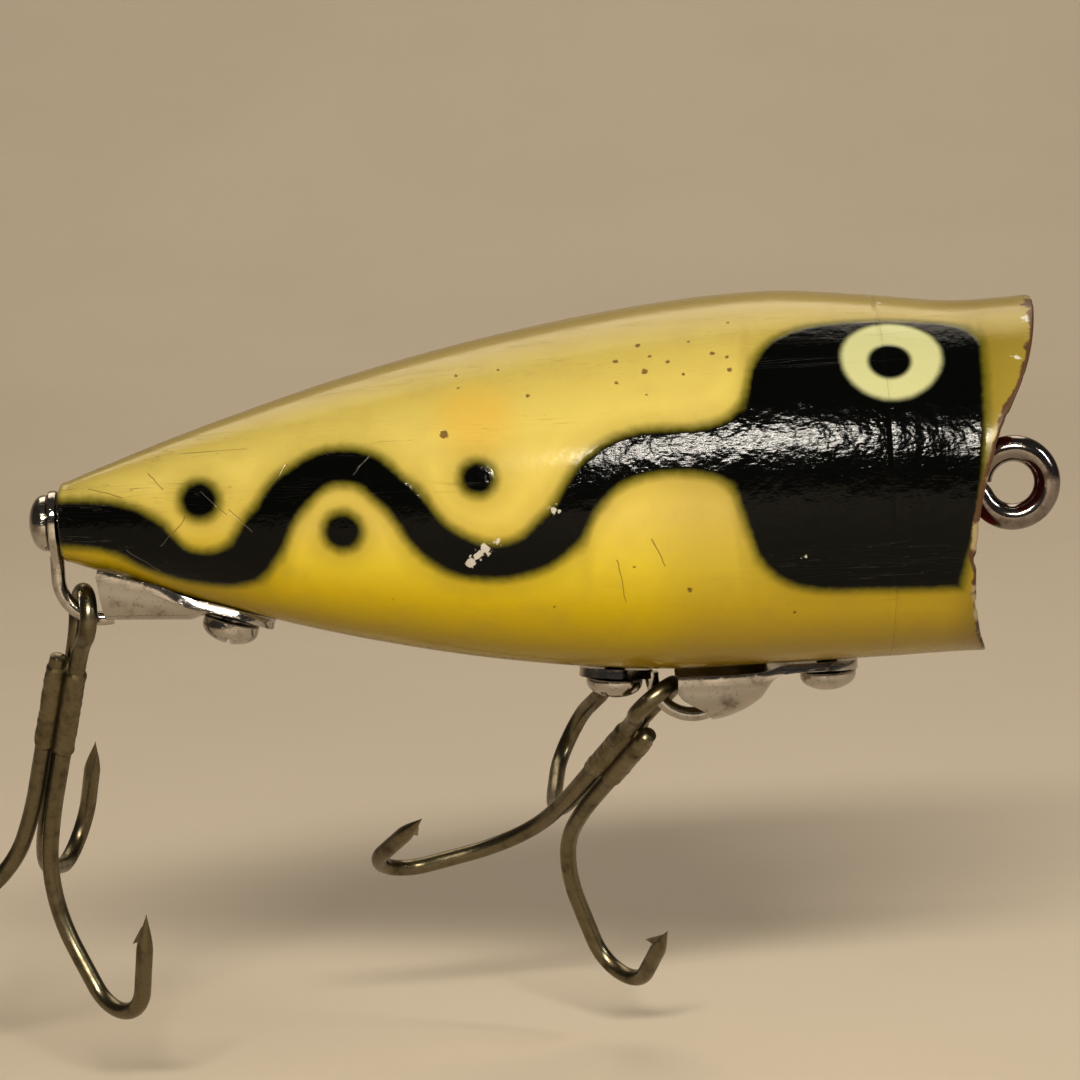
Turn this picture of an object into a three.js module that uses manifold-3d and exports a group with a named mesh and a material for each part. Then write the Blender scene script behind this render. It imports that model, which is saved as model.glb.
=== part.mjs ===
// Topwater popper: a hollow two-piece body with a cupped mouth, a screw-eye line tie,
// two strap hangers held by round-head screws, and two treble hooks that swing on them.
// Millimetres. +X points to the nose, +Z is up, and the origin is the centre of the line-tie ring.
import * as THREE from 'three';
import { mergeVertices } from 'three/addons/utils/BufferGeometryUtils.js';
import Module from 'manifold-3d';

const wasm = await Module();
wasm.setup();

// ---- Driving dimensions -------------------------------------------------------------------

// Body. A station is the distance from the tail's end face along the body's axis.
const BODY_OUTLINE = [
  [0, 2.45], [3, 3.55], [9, 5.62], [18.8, 8.47], [28.6, 10.57],
  [38.5, 11.87], [46.5, 12.12], [53, 11.8], [58.7, 11.43], [65, 11.6],
]; // [station, radius]
const BODY_BOW = [
  [0, 0], [14, 0], [28.6, 0.12], [38.5, 0.31], [46.5, 0.54], [53, 0.29], [58.7, 0], [65, 0],
]; // [station, height]: the sections' centres rise, so the back is fuller than the belly
const BODY_END = 65; // past the mouth's rim, which is cut out of the turned body
const SEAM_STATION = 53.3;
const TAIL_CORNER = 0.5;
const BODY_SEGMENTS = 40;
const FIT_GAP = 0.3; // between pieces that meet face to face

// Rear shell
const CHAMBER_START = 14;
const SHELL_WALL = 1.9;
const SOCKET_RADIUS = 10.2;
const SOCKET_START = 44.5;
const BOSS_RADIUS = 2.3;
const BOSS_LENGTH = 7;
const BOSS_SINK = 0.6; // how far the boss starts inside the wall

// Head plug
const SPIGOT_START = 45.2;
const SPIGOT_RADIUS = SOCKET_RADIUS - FIT_GAP;
const SPIGOT_CHAMFER = 0.4;
const MOUTH_RIM = [
  [64.6, 14], [63.6, 11.3], [62.3, 7.8], [60.1, 3.6], [58.7, -1],
  [58.4, -5.5], [58.9, -9.2], [60, -11.6], [61.6, -14],
]; // [station, height]: the scooped front edge seen from the side
const MOUTH_CUP = [
  [54.3, 0], [54.5, 3.2], [55.2, 6.2], [56.6, 8.8], [58.6, 10.2], [61.5, 10.65], [66, 10.8],
]; // [station, radius]

// Line tie
const TIE_STATION = 62.1;
const TIE_HEIGHT = -0.65; // above the body's axis
const TIE_WIRE_RADIUS = 0.86;
const TIE_RING_RADIUS = 2.25;
const TIE_SHANK_START = 46.6;
const TIE_SHANK_TIP = 0.6;
const TIE_THREAD_LENGTH = 6;
const TIE_BORE_RADIUS = 1.2;
const TIE_BORE_END = 58;

// Hook hangers, stamped from sheet
const SHEET = 0.6;
const SEAT_GAP = 0.15; // between the body and the strap
const PLATE_HALF_WIDTH = 2.5;
const NECK_RADIUS = 0.5;
const CUP_SPREAD = 1.1; // the cup's half width over its depth
const FRONT_PLATE = { from: 44.6, to: 51.5 };
const REAR_PLATE = { from: 33.2, to: 36.9, neckAt: 38 };
const TAIL_PLATE = { from: 8.6, to: 13.4 };
// heights on the tail's end face
const END_PLATE = { halfWidth: 1.9, roundCentre: 0.2, shoulder: -0.9, foot: -3 };

// Screws
const HEAD_RADIUS = 1.85;
const HEAD_HEIGHT = 1.25;
const SLOT_WIDTH = 0.42;
const SLOT_DEPTH = 0.5;
const SCREW_CREST = 0.95;
const SCREW_ROOT = 0.7;
const SCREW_LENGTH = 5.6;
const SCREW_PITCH = 0.9;
const SCREW_BORE = 1.15;
const BORE_SPARE = 0.6; // beyond the screw's tip
const SCREW_TIP = 0.8;
const SCREW_SIDES = 16;

// Treble hooks
const HOOK_WIRE = 0.62;
const HOOK_SIDES = 8;
const WIRE_OFFSET = 0.8; // from the treble's axis to each shank
const EYE_RADIUS = 1.63;
const SHANK_LENGTH = 14.2; // from the eye's centre to where the hooks spread
const SPREAD_ARCS = [[33, 7.5, 2], [8.8, 50, 6]]; // [radius, degrees, steps]
const SPREAD_STRAIGHT = 2.9;
const BEND_ARC = [2.8, 131.5, 8];
const POINT_STRAIGHT = 3.2;
const POINT_TAPER = 2.8;
const CUT_END = 3.2; // the single hook's shank ends this far below the eye's centre
const BARB = [[-1, 0.1], [-2.9, 1.15], [-2.4, 0.1]]; // [along the point from its tip, towards the shank]
const BARB_THICKNESS = 0.5;
const EYE_DIP = 35; // degrees below the eye's middle where the shanks run into the ring
const BRAZE_SPAN = [3.6, 11];
const BRAZE_WALL = 0.12;
const BRAZE_GAP = 0.06;

// ---- Solids: joining and cutting ----------------------------------------------------------

function toSolid(geometry) {
  const bare = geometry.clone();
  bare.deleteAttribute('normal');
  bare.deleteAttribute('uv');
  const merged = mergeVertices(bare, 1e-4);
  const index = merged.index.array;
  const triangles = [];
  for (let i = 0; i < index.length; i += 3) {
    const [a, b, c] = [index[i], index[i + 1], index[i + 2]];
    if (a !== b && b !== c && c !== a) triangles.push(a, b, c);
  }
  return new wasm.Manifold(new wasm.Mesh({
    numProp: 3,
    vertProperties: Float32Array.from(merged.attributes.position.array),
    triVerts: Uint32Array.from(triangles),
  }));
}

function toGeometry(solid) {
  const { vertProperties, triVerts } = solid.getMesh();
  const geometry = new THREE.BufferGeometry();
  geometry.setAttribute('position', new THREE.BufferAttribute(vertProperties, 3));
  geometry.setIndex(new THREE.BufferAttribute(triVerts, 1));
  geometry.computeVertexNormals();
  return geometry;
}

function join(...solids) {
  return solids.reduce((sum, solid) => sum.add(solid));
}

function cut(solid, ...tools) {
  return tools.reduce((rest, tool) => rest.subtract(tool), solid);
}

// ---- Basic shapes -------------------------------------------------------------------------

const radians = THREE.MathUtils.degToRad;

// A solid of revolution about the X axis from [station, radius] pairs.
function turned(profile, segments) {
  const points = profile.map(([station, radius]) => new THREE.Vector2(radius, station));
  return new THREE.LatheGeometry(points, segments).rotateZ(-Math.PI / 2);
}

function turnedSolid(profile, segments = BODY_SEGMENTS) {
  return toSolid(turned(profile, segments));
}

function turnedTo(along) {
  return new THREE.Quaternion().setFromUnitVectors(new THREE.Vector3(0, 1, 0), along.clone().normalize());
}

function rod(start, end, radius, sides = 12) {
  const along = end.clone().sub(start);
  const geometry = new THREE.CylinderGeometry(radius, radius, along.length(), sides);
  geometry.applyQuaternion(turnedTo(along));
  geometry.translate(...start.clone().add(end).multiplyScalar(0.5));
  return toSolid(geometry);
}

function cone(base, tip, radius, sides) {
  const along = tip.clone().sub(base);
  const geometry = new THREE.ConeGeometry(radius, along.length(), sides);
  geometry.applyQuaternion(turnedTo(along));
  geometry.translate(...base.clone().add(tip).multiplyScalar(0.5));
  return toSolid(geometry);
}

// A curve that visits each of its points in turn, however far apart they lie.
class WirePath extends THREE.Curve {
  constructor(points) {
    super();
    this.points = points;
  }

  getPointAt(u, target = new THREE.Vector3()) {
    return target.copy(this.points[Math.round(u * (this.points.length - 1))]);
  }

  getTangentAt(u, target = new THREE.Vector3()) {
    const last = this.points.length - 1;
    const i = Math.round(u * last);
    const before = this.points[Math.max(i - 1, 0)];
    const after = this.points[Math.min(i + 1, last)];
    return target.copy(after).sub(before).normalize();
  }
}

function wire(points, radius, sides) {
  const section = new THREE.Shape();
  for (let i = 0; i < sides; i += 1) {
    const angle = (2 * Math.PI * i) / sides;
    const [x, y] = [radius * Math.cos(angle), radius * Math.sin(angle)];
    if (i === 0) section.moveTo(x, y);
    else section.lineTo(x, y);
  }
  section.closePath();
  return toSolid(new THREE.ExtrudeGeometry(section, {
    steps: points.length - 1,
    extrudePath: new WirePath(points),
    bevelEnabled: false,
  }));
}

function arcPoints(centre, radius, startDegrees, endDegrees, steps) {
  return Array.from({ length: steps + 1 }, (_, i) => {
    const angle = radians(startDegrees + ((endDegrees - startDegrees) * i) / steps);
    return new THREE.Vector3(
      centre.x - radius * Math.sin(angle),
      0,
      centre.y - radius * Math.cos(angle),
    );
  });
}

// ---- Body ---------------------------------------------------------------------------------

// A smooth curve through [place, value] points.
function curveAt(points, place) {
  const slope = (i) => {
    const [before, after] = [points[Math.max(i - 1, 0)], points[Math.min(i + 1, points.length - 1)]];
    return (after[1] - before[1]) / (after[0] - before[0]);
  };
  let i = 0;
  while (i < points.length - 2 && place > points[i + 1][0]) i += 1;
  const [[start, from], [end, to]] = [points[i], points[i + 1]];
  const span = end - start;
  const u = (place - start) / span;
  const blend = u * u * (3 - 2 * u);
  const [rise0, rise1] = [slope(i) * span, slope(i + 1) * span];
  return from * (1 - blend) + to * blend + rise0 * u * (1 - u) ** 2 - rise1 * u * u * (1 - u);
}

function bodyRadius(station) {
  return curveAt(BODY_OUTLINE, station);
}

function bodyBow(station) {
  return station > 0 ? curveAt(BODY_BOW, station) : 0;
}

// A solid turned about the straight axis, bent to the body's bow.
function bowed(solid) {
  return solid.warp((vertex) => {
    vertex[2] += bodyBow(vertex[0]);
  });
}

// Height of the body's underside.
function bellyHeight(station) {
  return bodyBow(station) - bodyRadius(station);
}

// The underside's fall towards the nose, in radians.
function bellyTilt(station) {
  const step = 0.5;
  return Math.atan2(bellyHeight(station - step) - bellyHeight(station + step), 2 * step);
}

function outline(from, to, steps, offset = 0) {
  return Array.from({ length: steps + 1 }, (_, i) => {
    const station = from + ((to - from) * i) / steps;
    return [station, bodyRadius(station) + offset];
  });
}

// The space filled by the body and everything within a given distance of it.
function bodyEnvelope(offset) {
  const end = 60; // clear of every fitting
  const profile = outline(0, end, 24, offset);
  return bowed(turnedSolid([[-offset, 0], [-offset, profile[0][1]], ...profile, [end, 0]]));
}

function belowBody(station, lift = 0) {
  const tilt = bellyTilt(station);
  return new THREE.Vector3(
    station - lift * Math.sin(tilt),
    0,
    bellyHeight(station) - lift * Math.cos(tilt),
  );
}

// ---- Screws -------------------------------------------------------------------------------

const HEAD_SEAT = SEAT_GAP + SHEET + 0.1;

function seatUnder(station, standOff = 0) {
  const tilt = bellyTilt(station);
  return {
    seat: belowBody(station, HEAD_SEAT + standOff),
    inward: new THREE.Vector3(Math.sin(tilt), 0, Math.cos(tilt)),
  };
}

const SCREWS = {
  belly_screw_front: seatUnder(49.5),
  belly_screw_rear: seatUnder(35.6),
  tail_screw_belly: seatUnder(10.95, 0.25),
  tail_screw_end: { seat: new THREE.Vector3(-HEAD_SEAT, 0, 0), inward: new THREE.Vector3(1, 0, 0) },
};

function threadProfile(from, to, root, crest) {
  const profile = [];
  for (let at = from; at + SCREW_PITCH <= to; at += SCREW_PITCH) {
    profile.push([at, root], [at + SCREW_PITCH * 0.5, crest]);
  }
  return profile;
}

function screw() {
  const dome = Array.from({ length: 6 }, (_, i) => {
    const angle = (Math.PI / 2) * (i / 5);
    return [-HEAD_HEIGHT * Math.cos(angle), HEAD_RADIUS * Math.sin(angle)];
  });
  const body = turnedSolid([
    ...dome,
    [0, SCREW_ROOT],
    ...threadProfile(SCREW_PITCH, SCREW_LENGTH - SCREW_TIP, SCREW_ROOT, SCREW_CREST),
    [SCREW_LENGTH - SCREW_TIP, SCREW_ROOT],
    [SCREW_LENGTH, 0],
  ], SCREW_SIDES);
  const slot = new THREE.BoxGeometry(2 * SLOT_DEPTH, SLOT_WIDTH, 4 * HEAD_RADIUS);
  slot.translate(-HEAD_HEIGHT, 0, 0);
  return cut(body, toSolid(slot));
}

function screwBore({ seat, inward }) {
  const alongBore = (distance) => seat.clone().addScaledVector(inward, distance);
  return rod(alongBore(-1), alongBore(SCREW_LENGTH + BORE_SPARE), SCREW_BORE);
}

// ---- Rear shell ---------------------------------------------------------------------------

function rearShell() {
  const front = SEAM_STATION - FIT_GAP / 2;
  const corner = Array.from({ length: 4 }, (_, i) => {
    const angle = (Math.PI / 2) * (i / 3);
    return [
      TAIL_CORNER * (1 - Math.sin(angle)),
      bodyRadius(TAIL_CORNER) - TAIL_CORNER * (1 - Math.cos(angle)),
    ];
  });
  const tail = corner.reverse();
  const [chamberCorner, chamberMouth] = [CHAMBER_START + 1.2, SOCKET_START - 1];
  const chamber = outline(chamberCorner, chamberMouth, 9, -SHELL_WALL).reverse();
  const shell = bowed(turnedSolid([
    [0, 0],
    ...tail,
    ...outline(1.5, front, 20),
    [front, SOCKET_RADIUS],
    [SOCKET_START, SOCKET_RADIUS],
    ...chamber,
    [CHAMBER_START, 0],
  ]));
  const { seat, inward } = SCREWS.belly_screw_rear;
  const bossStart = seat.clone().addScaledVector(inward, HEAD_SEAT + BOSS_SINK);
  const post = rod(bossStart, seat.clone().addScaledVector(inward, HEAD_SEAT + BOSS_LENGTH), BOSS_RADIUS, 16);
  return cut(join(shell, post), ...Object.values(SCREWS).map((place) => screwBore(place)));
}

// ---- Head plug ----------------------------------------------------------------------------

function mouthScoop() {
  const edge = new THREE.SplineCurve(MOUTH_RIM.map(([x, z]) => new THREE.Vector2(x, z)));
  const shape = new THREE.Shape(edge.getPoints(18));
  const [ahead, width] = [80, 32]; // past the nose, and wider than the body
  shape.lineTo(ahead, MOUTH_RIM.at(-1)[1]);
  shape.lineTo(ahead, MOUTH_RIM[0][1]);
  shape.closePath();
  const geometry = new THREE.ExtrudeGeometry(shape, { depth: width, bevelEnabled: false });
  geometry.translate(0, 0, -width / 2);
  return toSolid(geometry.rotateX(Math.PI / 2));
}

function headPlug() {
  const back = SEAM_STATION + FIT_GAP / 2;
  const plug = turnedSolid([
    [SPIGOT_START, 0],
    [SPIGOT_START, SPIGOT_RADIUS - SPIGOT_CHAMFER],
    [SPIGOT_START + SPIGOT_CHAMFER, SPIGOT_RADIUS],
    [back, SPIGOT_RADIUS],
    ...outline(back, BODY_END, 9),
    [BODY_END, 0],
  ]);
  const cup = turnedSolid([...MOUTH_CUP, [MOUTH_CUP.at(-1)[0], 0]]);
  const boreEnds = [SPIGOT_START - 1, TIE_BORE_END].map((x) => new THREE.Vector3(x, 0, TIE_HEIGHT));
  const bore = rod(...boreEnds, TIE_BORE_RADIUS);
  return cut(bowed(cut(plug, cup)), mouthScoop(), bore, screwBore(SCREWS.belly_screw_front));
}

// ---- Line tie -----------------------------------------------------------------------------

function lineTie() {
  const ring = new THREE.TorusGeometry(TIE_RING_RADIUS, TIE_WIRE_RADIUS, 10, 28);
  ring.rotateX(Math.PI / 2);
  ring.translate(TIE_STATION, 0, 0);
  const threadEnd = TIE_SHANK_START + TIE_THREAD_LENGTH;
  const shank = turnedSolid([
    [TIE_SHANK_START - TIE_SHANK_TIP, 0],
    [TIE_SHANK_START, SCREW_ROOT],
    ...threadProfile(TIE_SHANK_START, threadEnd, SCREW_ROOT, SCREW_CREST),
    [threadEnd, TIE_WIRE_RADIUS],
    [TIE_STATION - TIE_RING_RADIUS, TIE_WIRE_RADIUS],
    [TIE_STATION - TIE_RING_RADIUS, 0],
  ], 10);
  return join(toSolid(ring), shank).translate([0, 0, TIE_HEIGHT]);
}

// ---- Hook hangers -------------------------------------------------------------------------

// Pivot: the centre of the neck's arc. Angles run from straight down towards the tail.
const BELLY_HANGER = {
  pivot: new THREE.Vector2(40.65, -12.15),
  neckArc: 2.7,
  neckAngles: [-36, 96],
  cupAxis: { at: new THREE.Vector3(39.3, 0, -11.95), degrees: 2 },
  cupProfile: [[-1, 3.05], [0, 3.15], [2.2, 3.15], [4.1, 2.6], [5.6, 1.7], [6.9, 0.5], [7.1, 0]],
  mouthCut: { at: new THREE.Vector3(39.9, 0, -12.3), degrees: -33 },
};
const TAIL_HANGER = {
  pivot: new THREE.Vector2(2.35, -3.65),
  neckArc: 2.8,
  neckAngles: [-12, 90],
  cupAxis: { at: new THREE.Vector3(2.5, 0, -3.37), degrees: 19.5 },
  cupProfile: [[-2, 3.25], [0, 3.15], [3, 2.3], [5.6, 1.4], [6.8, 0.7], [7.1, 0]],
  mouthCut: { at: new THREE.Vector3(2.6, 0, -5), degrees: 0 },
};

// A plate's outline from above: a round-ended strip that narrows to the neck at one end.
function plateOutline({ from, to, neckAt }) {
  const half = PLATE_HALF_WIDTH;
  const shape = new THREE.Shape();
  if (neckAt === undefined) {
    shape.moveTo(from, -half);
    shape.lineTo(to - half, -half);
    shape.absarc(to - half, 0, half, -Math.PI / 2, Math.PI / 2, false);
    shape.lineTo(from, half);
  } else {
    shape.moveTo(neckAt, -NECK_RADIUS);
    shape.lineTo(neckAt, NECK_RADIUS);
    shape.lineTo(to, half);
    shape.lineTo(from + half, half);
    shape.absarc(from + half, 0, half, Math.PI / 2, (3 * Math.PI) / 2, false);
    shape.lineTo(to, -half);
  }
  shape.closePath();
  return shape;
}

// A plate formed to the body's underside.
function plate(shape) {
  const [lowest, depth] = [-15.5, 14]; // from below the belly to inside the body
  const prism = new THREE.ExtrudeGeometry(shape, { depth, bevelEnabled: false, curveSegments: 8 });
  prism.translate(0, 0, lowest);
  return toSolid(prism).intersect(bodyEnvelope(SEAT_GAP + SHEET));
}

function hangerCup({ cupAxis, cupProfile, mouthCut }) {
  const innerTip = [cupProfile.at(-1)[0] - 2 * SHEET, 0];
  const inner = [...cupProfile.slice(0, -1).map(([x, radius]) => [x, Math.max(radius - SHEET, 0)]), innerTip];
  const place = (profile) => {
    const geometry = turned([[profile[0][0], 0], ...profile], 20);
    geometry.scale(1, CUP_SPREAD, 1);
    geometry.rotateY(radians(cupAxis.degrees));
    geometry.translate(...cupAxis.at);
    return toSolid(geometry);
  };
  const shell = place(cupProfile).subtract(place(inner));
  const size = 20;
  const behind = new THREE.BoxGeometry(size, size, size);
  behind.translate(-size / 2, 0, 0);
  behind.rotateY(radians(mouthCut.degrees));
  behind.translate(...mouthCut.at);
  const above = new THREE.BoxGeometry(3 * size, size, size);
  above.translate(0, 0, size / 2);
  above.rotateY(radians(cupAxis.degrees));
  above.translate(...cupAxis.at);
  return cut(shell, toSolid(behind), toSolid(above));
}

function neck({ pivot, neckArc, neckAngles }, tail = []) {
  const arc = arcPoints(pivot, neckArc, neckAngles[0], neckAngles[1], 12);
  return wire([...arc, ...tail], NECK_RADIUS, 10);
}

function bellyHanger() {
  const body = join(
    plate(plateOutline(FRONT_PLATE)),
    plate(plateOutline(REAR_PLATE)),
    hangerCup(BELLY_HANGER),
    neck(BELLY_HANGER),
  );
  const holes = [SCREWS.belly_screw_front, SCREWS.belly_screw_rear].map((place) => screwBore(place));
  return cut(body, bodyEnvelope(SEAT_GAP), ...holes);
}

function tailEndPlate() {
  const { halfWidth, roundCentre, shoulder, foot } = END_PLATE;
  const shape = new THREE.Shape();
  shape.moveTo(-NECK_RADIUS, foot);
  shape.lineTo(NECK_RADIUS, foot);
  shape.lineTo(halfWidth, shoulder);
  shape.lineTo(halfWidth, roundCentre);
  shape.absarc(0, roundCentre, halfWidth, 0, Math.PI, false);
  shape.lineTo(-halfWidth, shoulder);
  shape.closePath();
  const geometry = new THREE.ExtrudeGeometry(shape, { depth: SHEET, bevelEnabled: false, curveSegments: 8 });
  geometry.rotateX(Math.PI / 2);
  geometry.rotateZ(Math.PI / 2);
  geometry.translate(-SEAT_GAP - SHEET, 0, 0);
  return toSolid(geometry);
}

function tailHanger() {
  const top = new THREE.Vector3(-SEAT_GAP - SHEET / 2, 0, END_PLATE.foot + 0.8);
  const body = join(
    plate(plateOutline(TAIL_PLATE)),
    hangerCup(TAIL_HANGER),
    neck(TAIL_HANGER, [top]),
    tailEndPlate(),
  );
  const holes = [SCREWS.tail_screw_belly, SCREWS.tail_screw_end].map((place) => screwBore(place));
  return cut(body, bodyEnvelope(SEAT_GAP), ...holes);
}

// ---- Treble hooks -------------------------------------------------------------------------

// One hook's centre line in its own plane, from its shank to where the point tapers:
// x outwards from the treble's axis, y downwards from the eye's centre.
function hookLine(start) {
  const points = [new THREE.Vector2(WIRE_OFFSET, start), new THREE.Vector2(WIRE_OFFSET, SHANK_LENGTH)];
  let heading = 0;
  const advance = (length) => {
    const step = new THREE.Vector2(Math.sin(heading), Math.cos(heading)).multiplyScalar(length);
    points.push(points.at(-1).clone().add(step));
  };
  const turn = ([radius, degrees, steps]) => {
    const half = radians(degrees) / steps / 2;
    for (let i = 0; i < steps; i += 1) {
      heading += half;
      advance(2 * radius * Math.sin(half));
      heading += half;
    }
  };
  SPREAD_ARCS.forEach(turn);
  advance(SPREAD_STRAIGHT);
  turn(BEND_ARC);
  advance(POINT_STRAIGHT);
  return { points, heading };
}

function hookInSpace({ points, heading }, degrees) {
  const out = new THREE.Vector3(Math.cos(radians(degrees)), Math.sin(radians(degrees)), 0);
  const lift = (p) => out.clone().multiplyScalar(p.x).setZ(-p.y);
  return {
    line: points.map(lift),
    towardsTip: lift(new THREE.Vector2(Math.sin(heading), Math.cos(heading))),
    towardsShank: lift(new THREE.Vector2(Math.cos(heading), -Math.sin(heading))),
    across: new THREE.Vector3(-out.y, out.x, 0),
  };
}

// The needle point and the barb cut up from the wire behind it.
function hookPoint({ line, towardsTip, towardsShank, across }) {
  const end = line.at(-1);
  const tip = end.clone().addScaledVector(towardsTip, POINT_TAPER);
  const needle = cone(end.clone().addScaledVector(towardsTip, -0.2), tip, HOOK_WIRE * 0.99, HOOK_SIDES);
  const barb = new THREE.Shape(BARB.map(([along, up]) => new THREE.Vector2(along, up)));
  const wedge = new THREE.ExtrudeGeometry(barb, { depth: BARB_THICKNESS, bevelEnabled: false });
  wedge.translate(0, 0, -BARB_THICKNESS / 2);
  const handed = towardsTip.clone().cross(towardsShank).dot(across) > 0 ? across : across.clone().negate();
  wedge.applyMatrix4(new THREE.Matrix4().makeBasis(towardsTip, towardsShank, handed).setPosition(tip));
  return join(needle, toSolid(wedge));
}

function eyeLine() {
  const along = new THREE.Vector2(Math.sin(radians(EYE_DIP)), Math.cos(radians(EYE_DIP)));
  const foot = new THREE.Vector2(EYE_RADIUS * along.y, -EYE_RADIUS * along.x);
  const shank = new THREE.Vector2(WIRE_OFFSET * Math.sin(Math.PI / 3), -BRAZE_SPAN[0]);
  const [shankPull, eyePull] = [1.1, 0.8]; // how far each end of the run keeps its direction
  const run = new THREE.CubicBezierCurve(
    shank,
    shank.clone().setY(shank.y + shankPull),
    foot.clone().addScaledVector(along, -eyePull),
    foot,
  );
  const rise = run.getPoints(5).slice(0, -1);
  const ring = Array.from({ length: 13 }, (_, i) => {
    const angle = radians(-EYE_DIP + ((180 + 2 * EYE_DIP) * i) / 12);
    return new THREE.Vector2(EYE_RADIUS * Math.cos(angle), EYE_RADIUS * Math.sin(angle));
  });
  const fall = rise.map((p) => new THREE.Vector2(-p.x, p.y)).reverse();
  const plane = WIRE_OFFSET * Math.cos(Math.PI / 3);
  return [...rise, ...ring, ...fall].map((p) => new THREE.Vector3(plane, p.x, p.y));
}

// Both hooks of one bent wire, whose middle is the eye. The hooks lie 60 degrees either side of +X.
function doubleHook() {
  const hooks = [60, -60].map((degrees) => hookInSpace(hookLine(BRAZE_SPAN[0]), degrees));
  const first = hooks[0].line.slice(1).reverse();
  const body = wire([...first, ...eyeLine(), ...hooks[1].line.slice(1)], HOOK_WIRE, HOOK_SIDES);
  return join(body, ...hooks.map(hookPoint));
}

function singleHook() {
  const hook = hookInSpace(hookLine(CUT_END), 180);
  return join(wire(hook.line, HOOK_WIRE, HOOK_SIDES), hookPoint(hook));
}

// Braze metal round and between the three shanks.
function braze() {
  const outer = HOOK_WIRE + BRAZE_GAP + BRAZE_WALL;
  const angles = [60, 180, 300];
  const shape = new THREE.Shape();
  for (const degrees of angles) {
    const middle = radians(degrees);
    const [x, y] = [WIRE_OFFSET * Math.cos(middle), WIRE_OFFSET * Math.sin(middle)];
    shape.absarc(x, y, outer, middle - Math.PI / 3, middle + Math.PI / 3, false);
  }
  shape.closePath();
  const length = BRAZE_SPAN[1] - BRAZE_SPAN[0];
  const filler = new THREE.ExtrudeGeometry(shape, { depth: length, bevelEnabled: false, curveSegments: 6 });
  filler.translate(0, 0, -BRAZE_SPAN[1]);
  const shanks = angles.map((degrees) => {
    const centre = new THREE.Vector3(Math.cos(radians(degrees)), Math.sin(radians(degrees)), 0);
    centre.multiplyScalar(WIRE_OFFSET);
    const [top, bottom] = [1 - BRAZE_SPAN[0], -1 - BRAZE_SPAN[1]].map((z) => centre.clone().setZ(z));
    return rod(bottom, top, HOOK_WIRE + BRAZE_GAP, 12);
  });
  return cut(toSolid(filler), ...shanks);
}

// ---- Assembly -----------------------------------------------------------------------------

function named(name, solid, [color, roughness, metalness]) {
  const material = new THREE.MeshStandardMaterial({ color, roughness, metalness });
  const mesh = new THREE.Mesh(toGeometry(solid), material);
  mesh.name = name;
  return mesh;
}

const YELLOW_ENAMEL = [0xd8c24a, 0.3, 0];
const HEAD_ENAMEL = [0x1a1c1e, 0.3, 0];
const CHROME = [0xc8c8cc, 0.15, 1];
const TINNED_WIRE = [0x5c5a4e, 0.4, 1];
const BRAZE_METAL = [0x77735f, 0.5, 1];

// A treble hangs from its hanger's neck. The hinge line runs along Y through the neck's arc centre.
function treble(prefix, { pivot, eyeReach, eyeAngle, lean, tilt, twist, singleFaces }) {
  const hinge = new THREE.Group();
  hinge.position.set(pivot.x, 0, pivot.y);
  const hook = new THREE.Group();
  hook.position.set(-eyeReach * Math.sin(radians(eyeAngle)), 0, -eyeReach * Math.cos(radians(eyeAngle)));
  hook.rotation.set(radians(tilt), radians(lean), radians(twist), 'YXZ');
  const facing = new THREE.Group();
  facing.rotation.z = singleFaces === 'nose' ? Math.PI : 0;
  const eyeShift = WIRE_OFFSET * Math.cos(Math.PI / 3);
  facing.position.x = singleFaces === 'nose' ? eyeShift : -eyeShift;
  facing.add(
    named(`${prefix}_double_hook`, doubleHook(), TINNED_WIRE),
    named(`${prefix}_single_hook`, singleHook(), TINNED_WIRE),
    named(`${prefix}_braze`, braze(), BRAZE_METAL),
  );
  hook.add(facing);
  hinge.add(hook);
  return hinge;
}

function screwMesh(name) {
  const { seat, inward } = SCREWS[name];
  const mesh = named(name, screw(), CHROME);
  mesh.position.copy(seat);
  mesh.quaternion.setFromUnitVectors(new THREE.Vector3(1, 0, 0), inward);
  return mesh;
}

const popper = new THREE.Group();
popper.position.set(-TIE_STATION, 0, -TIE_HEIGHT);
popper.add(
  named('rear_shell', rearShell(), YELLOW_ENAMEL),
  named('head_plug', headPlug(), HEAD_ENAMEL),
  named('line_tie_eye', lineTie(), CHROME),
  named('belly_hanger', bellyHanger(), CHROME),
  named('tail_hanger', tailHanger(), CHROME),
  ...Object.keys(SCREWS).map(screwMesh),
  treble('belly_treble', {
    pivot: BELLY_HANGER.pivot,
    eyeReach: 3.05,
    eyeAngle: 57.5,
    lean: 33.4,
    tilt: 50,
    twist: -24,
    singleFaces: 'nose',
  }),
  treble('tail_treble', {
    pivot: TAIL_HANGER.pivot,
    eyeReach: 2.93,
    eyeAngle: 28,
    lean: 15.5,
    tilt: 25,
    twist: 21,
    singleFaces: 'tail',
  }),
);

export default popper;
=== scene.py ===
"""Looks of a topwater popper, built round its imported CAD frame. Blender 4.5.

Shapes are made in millimetres in the lure's own terms: a station is the distance from the tail's
end face along the body's axis, y runs across, and height is measured from that axis.
Each piece is then turned into the frame's metres, whose origin is the line tie's ring.
"""

import math

import bmesh
import bpy
import numpy as np
from mathutils import Matrix, Vector, noise


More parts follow.
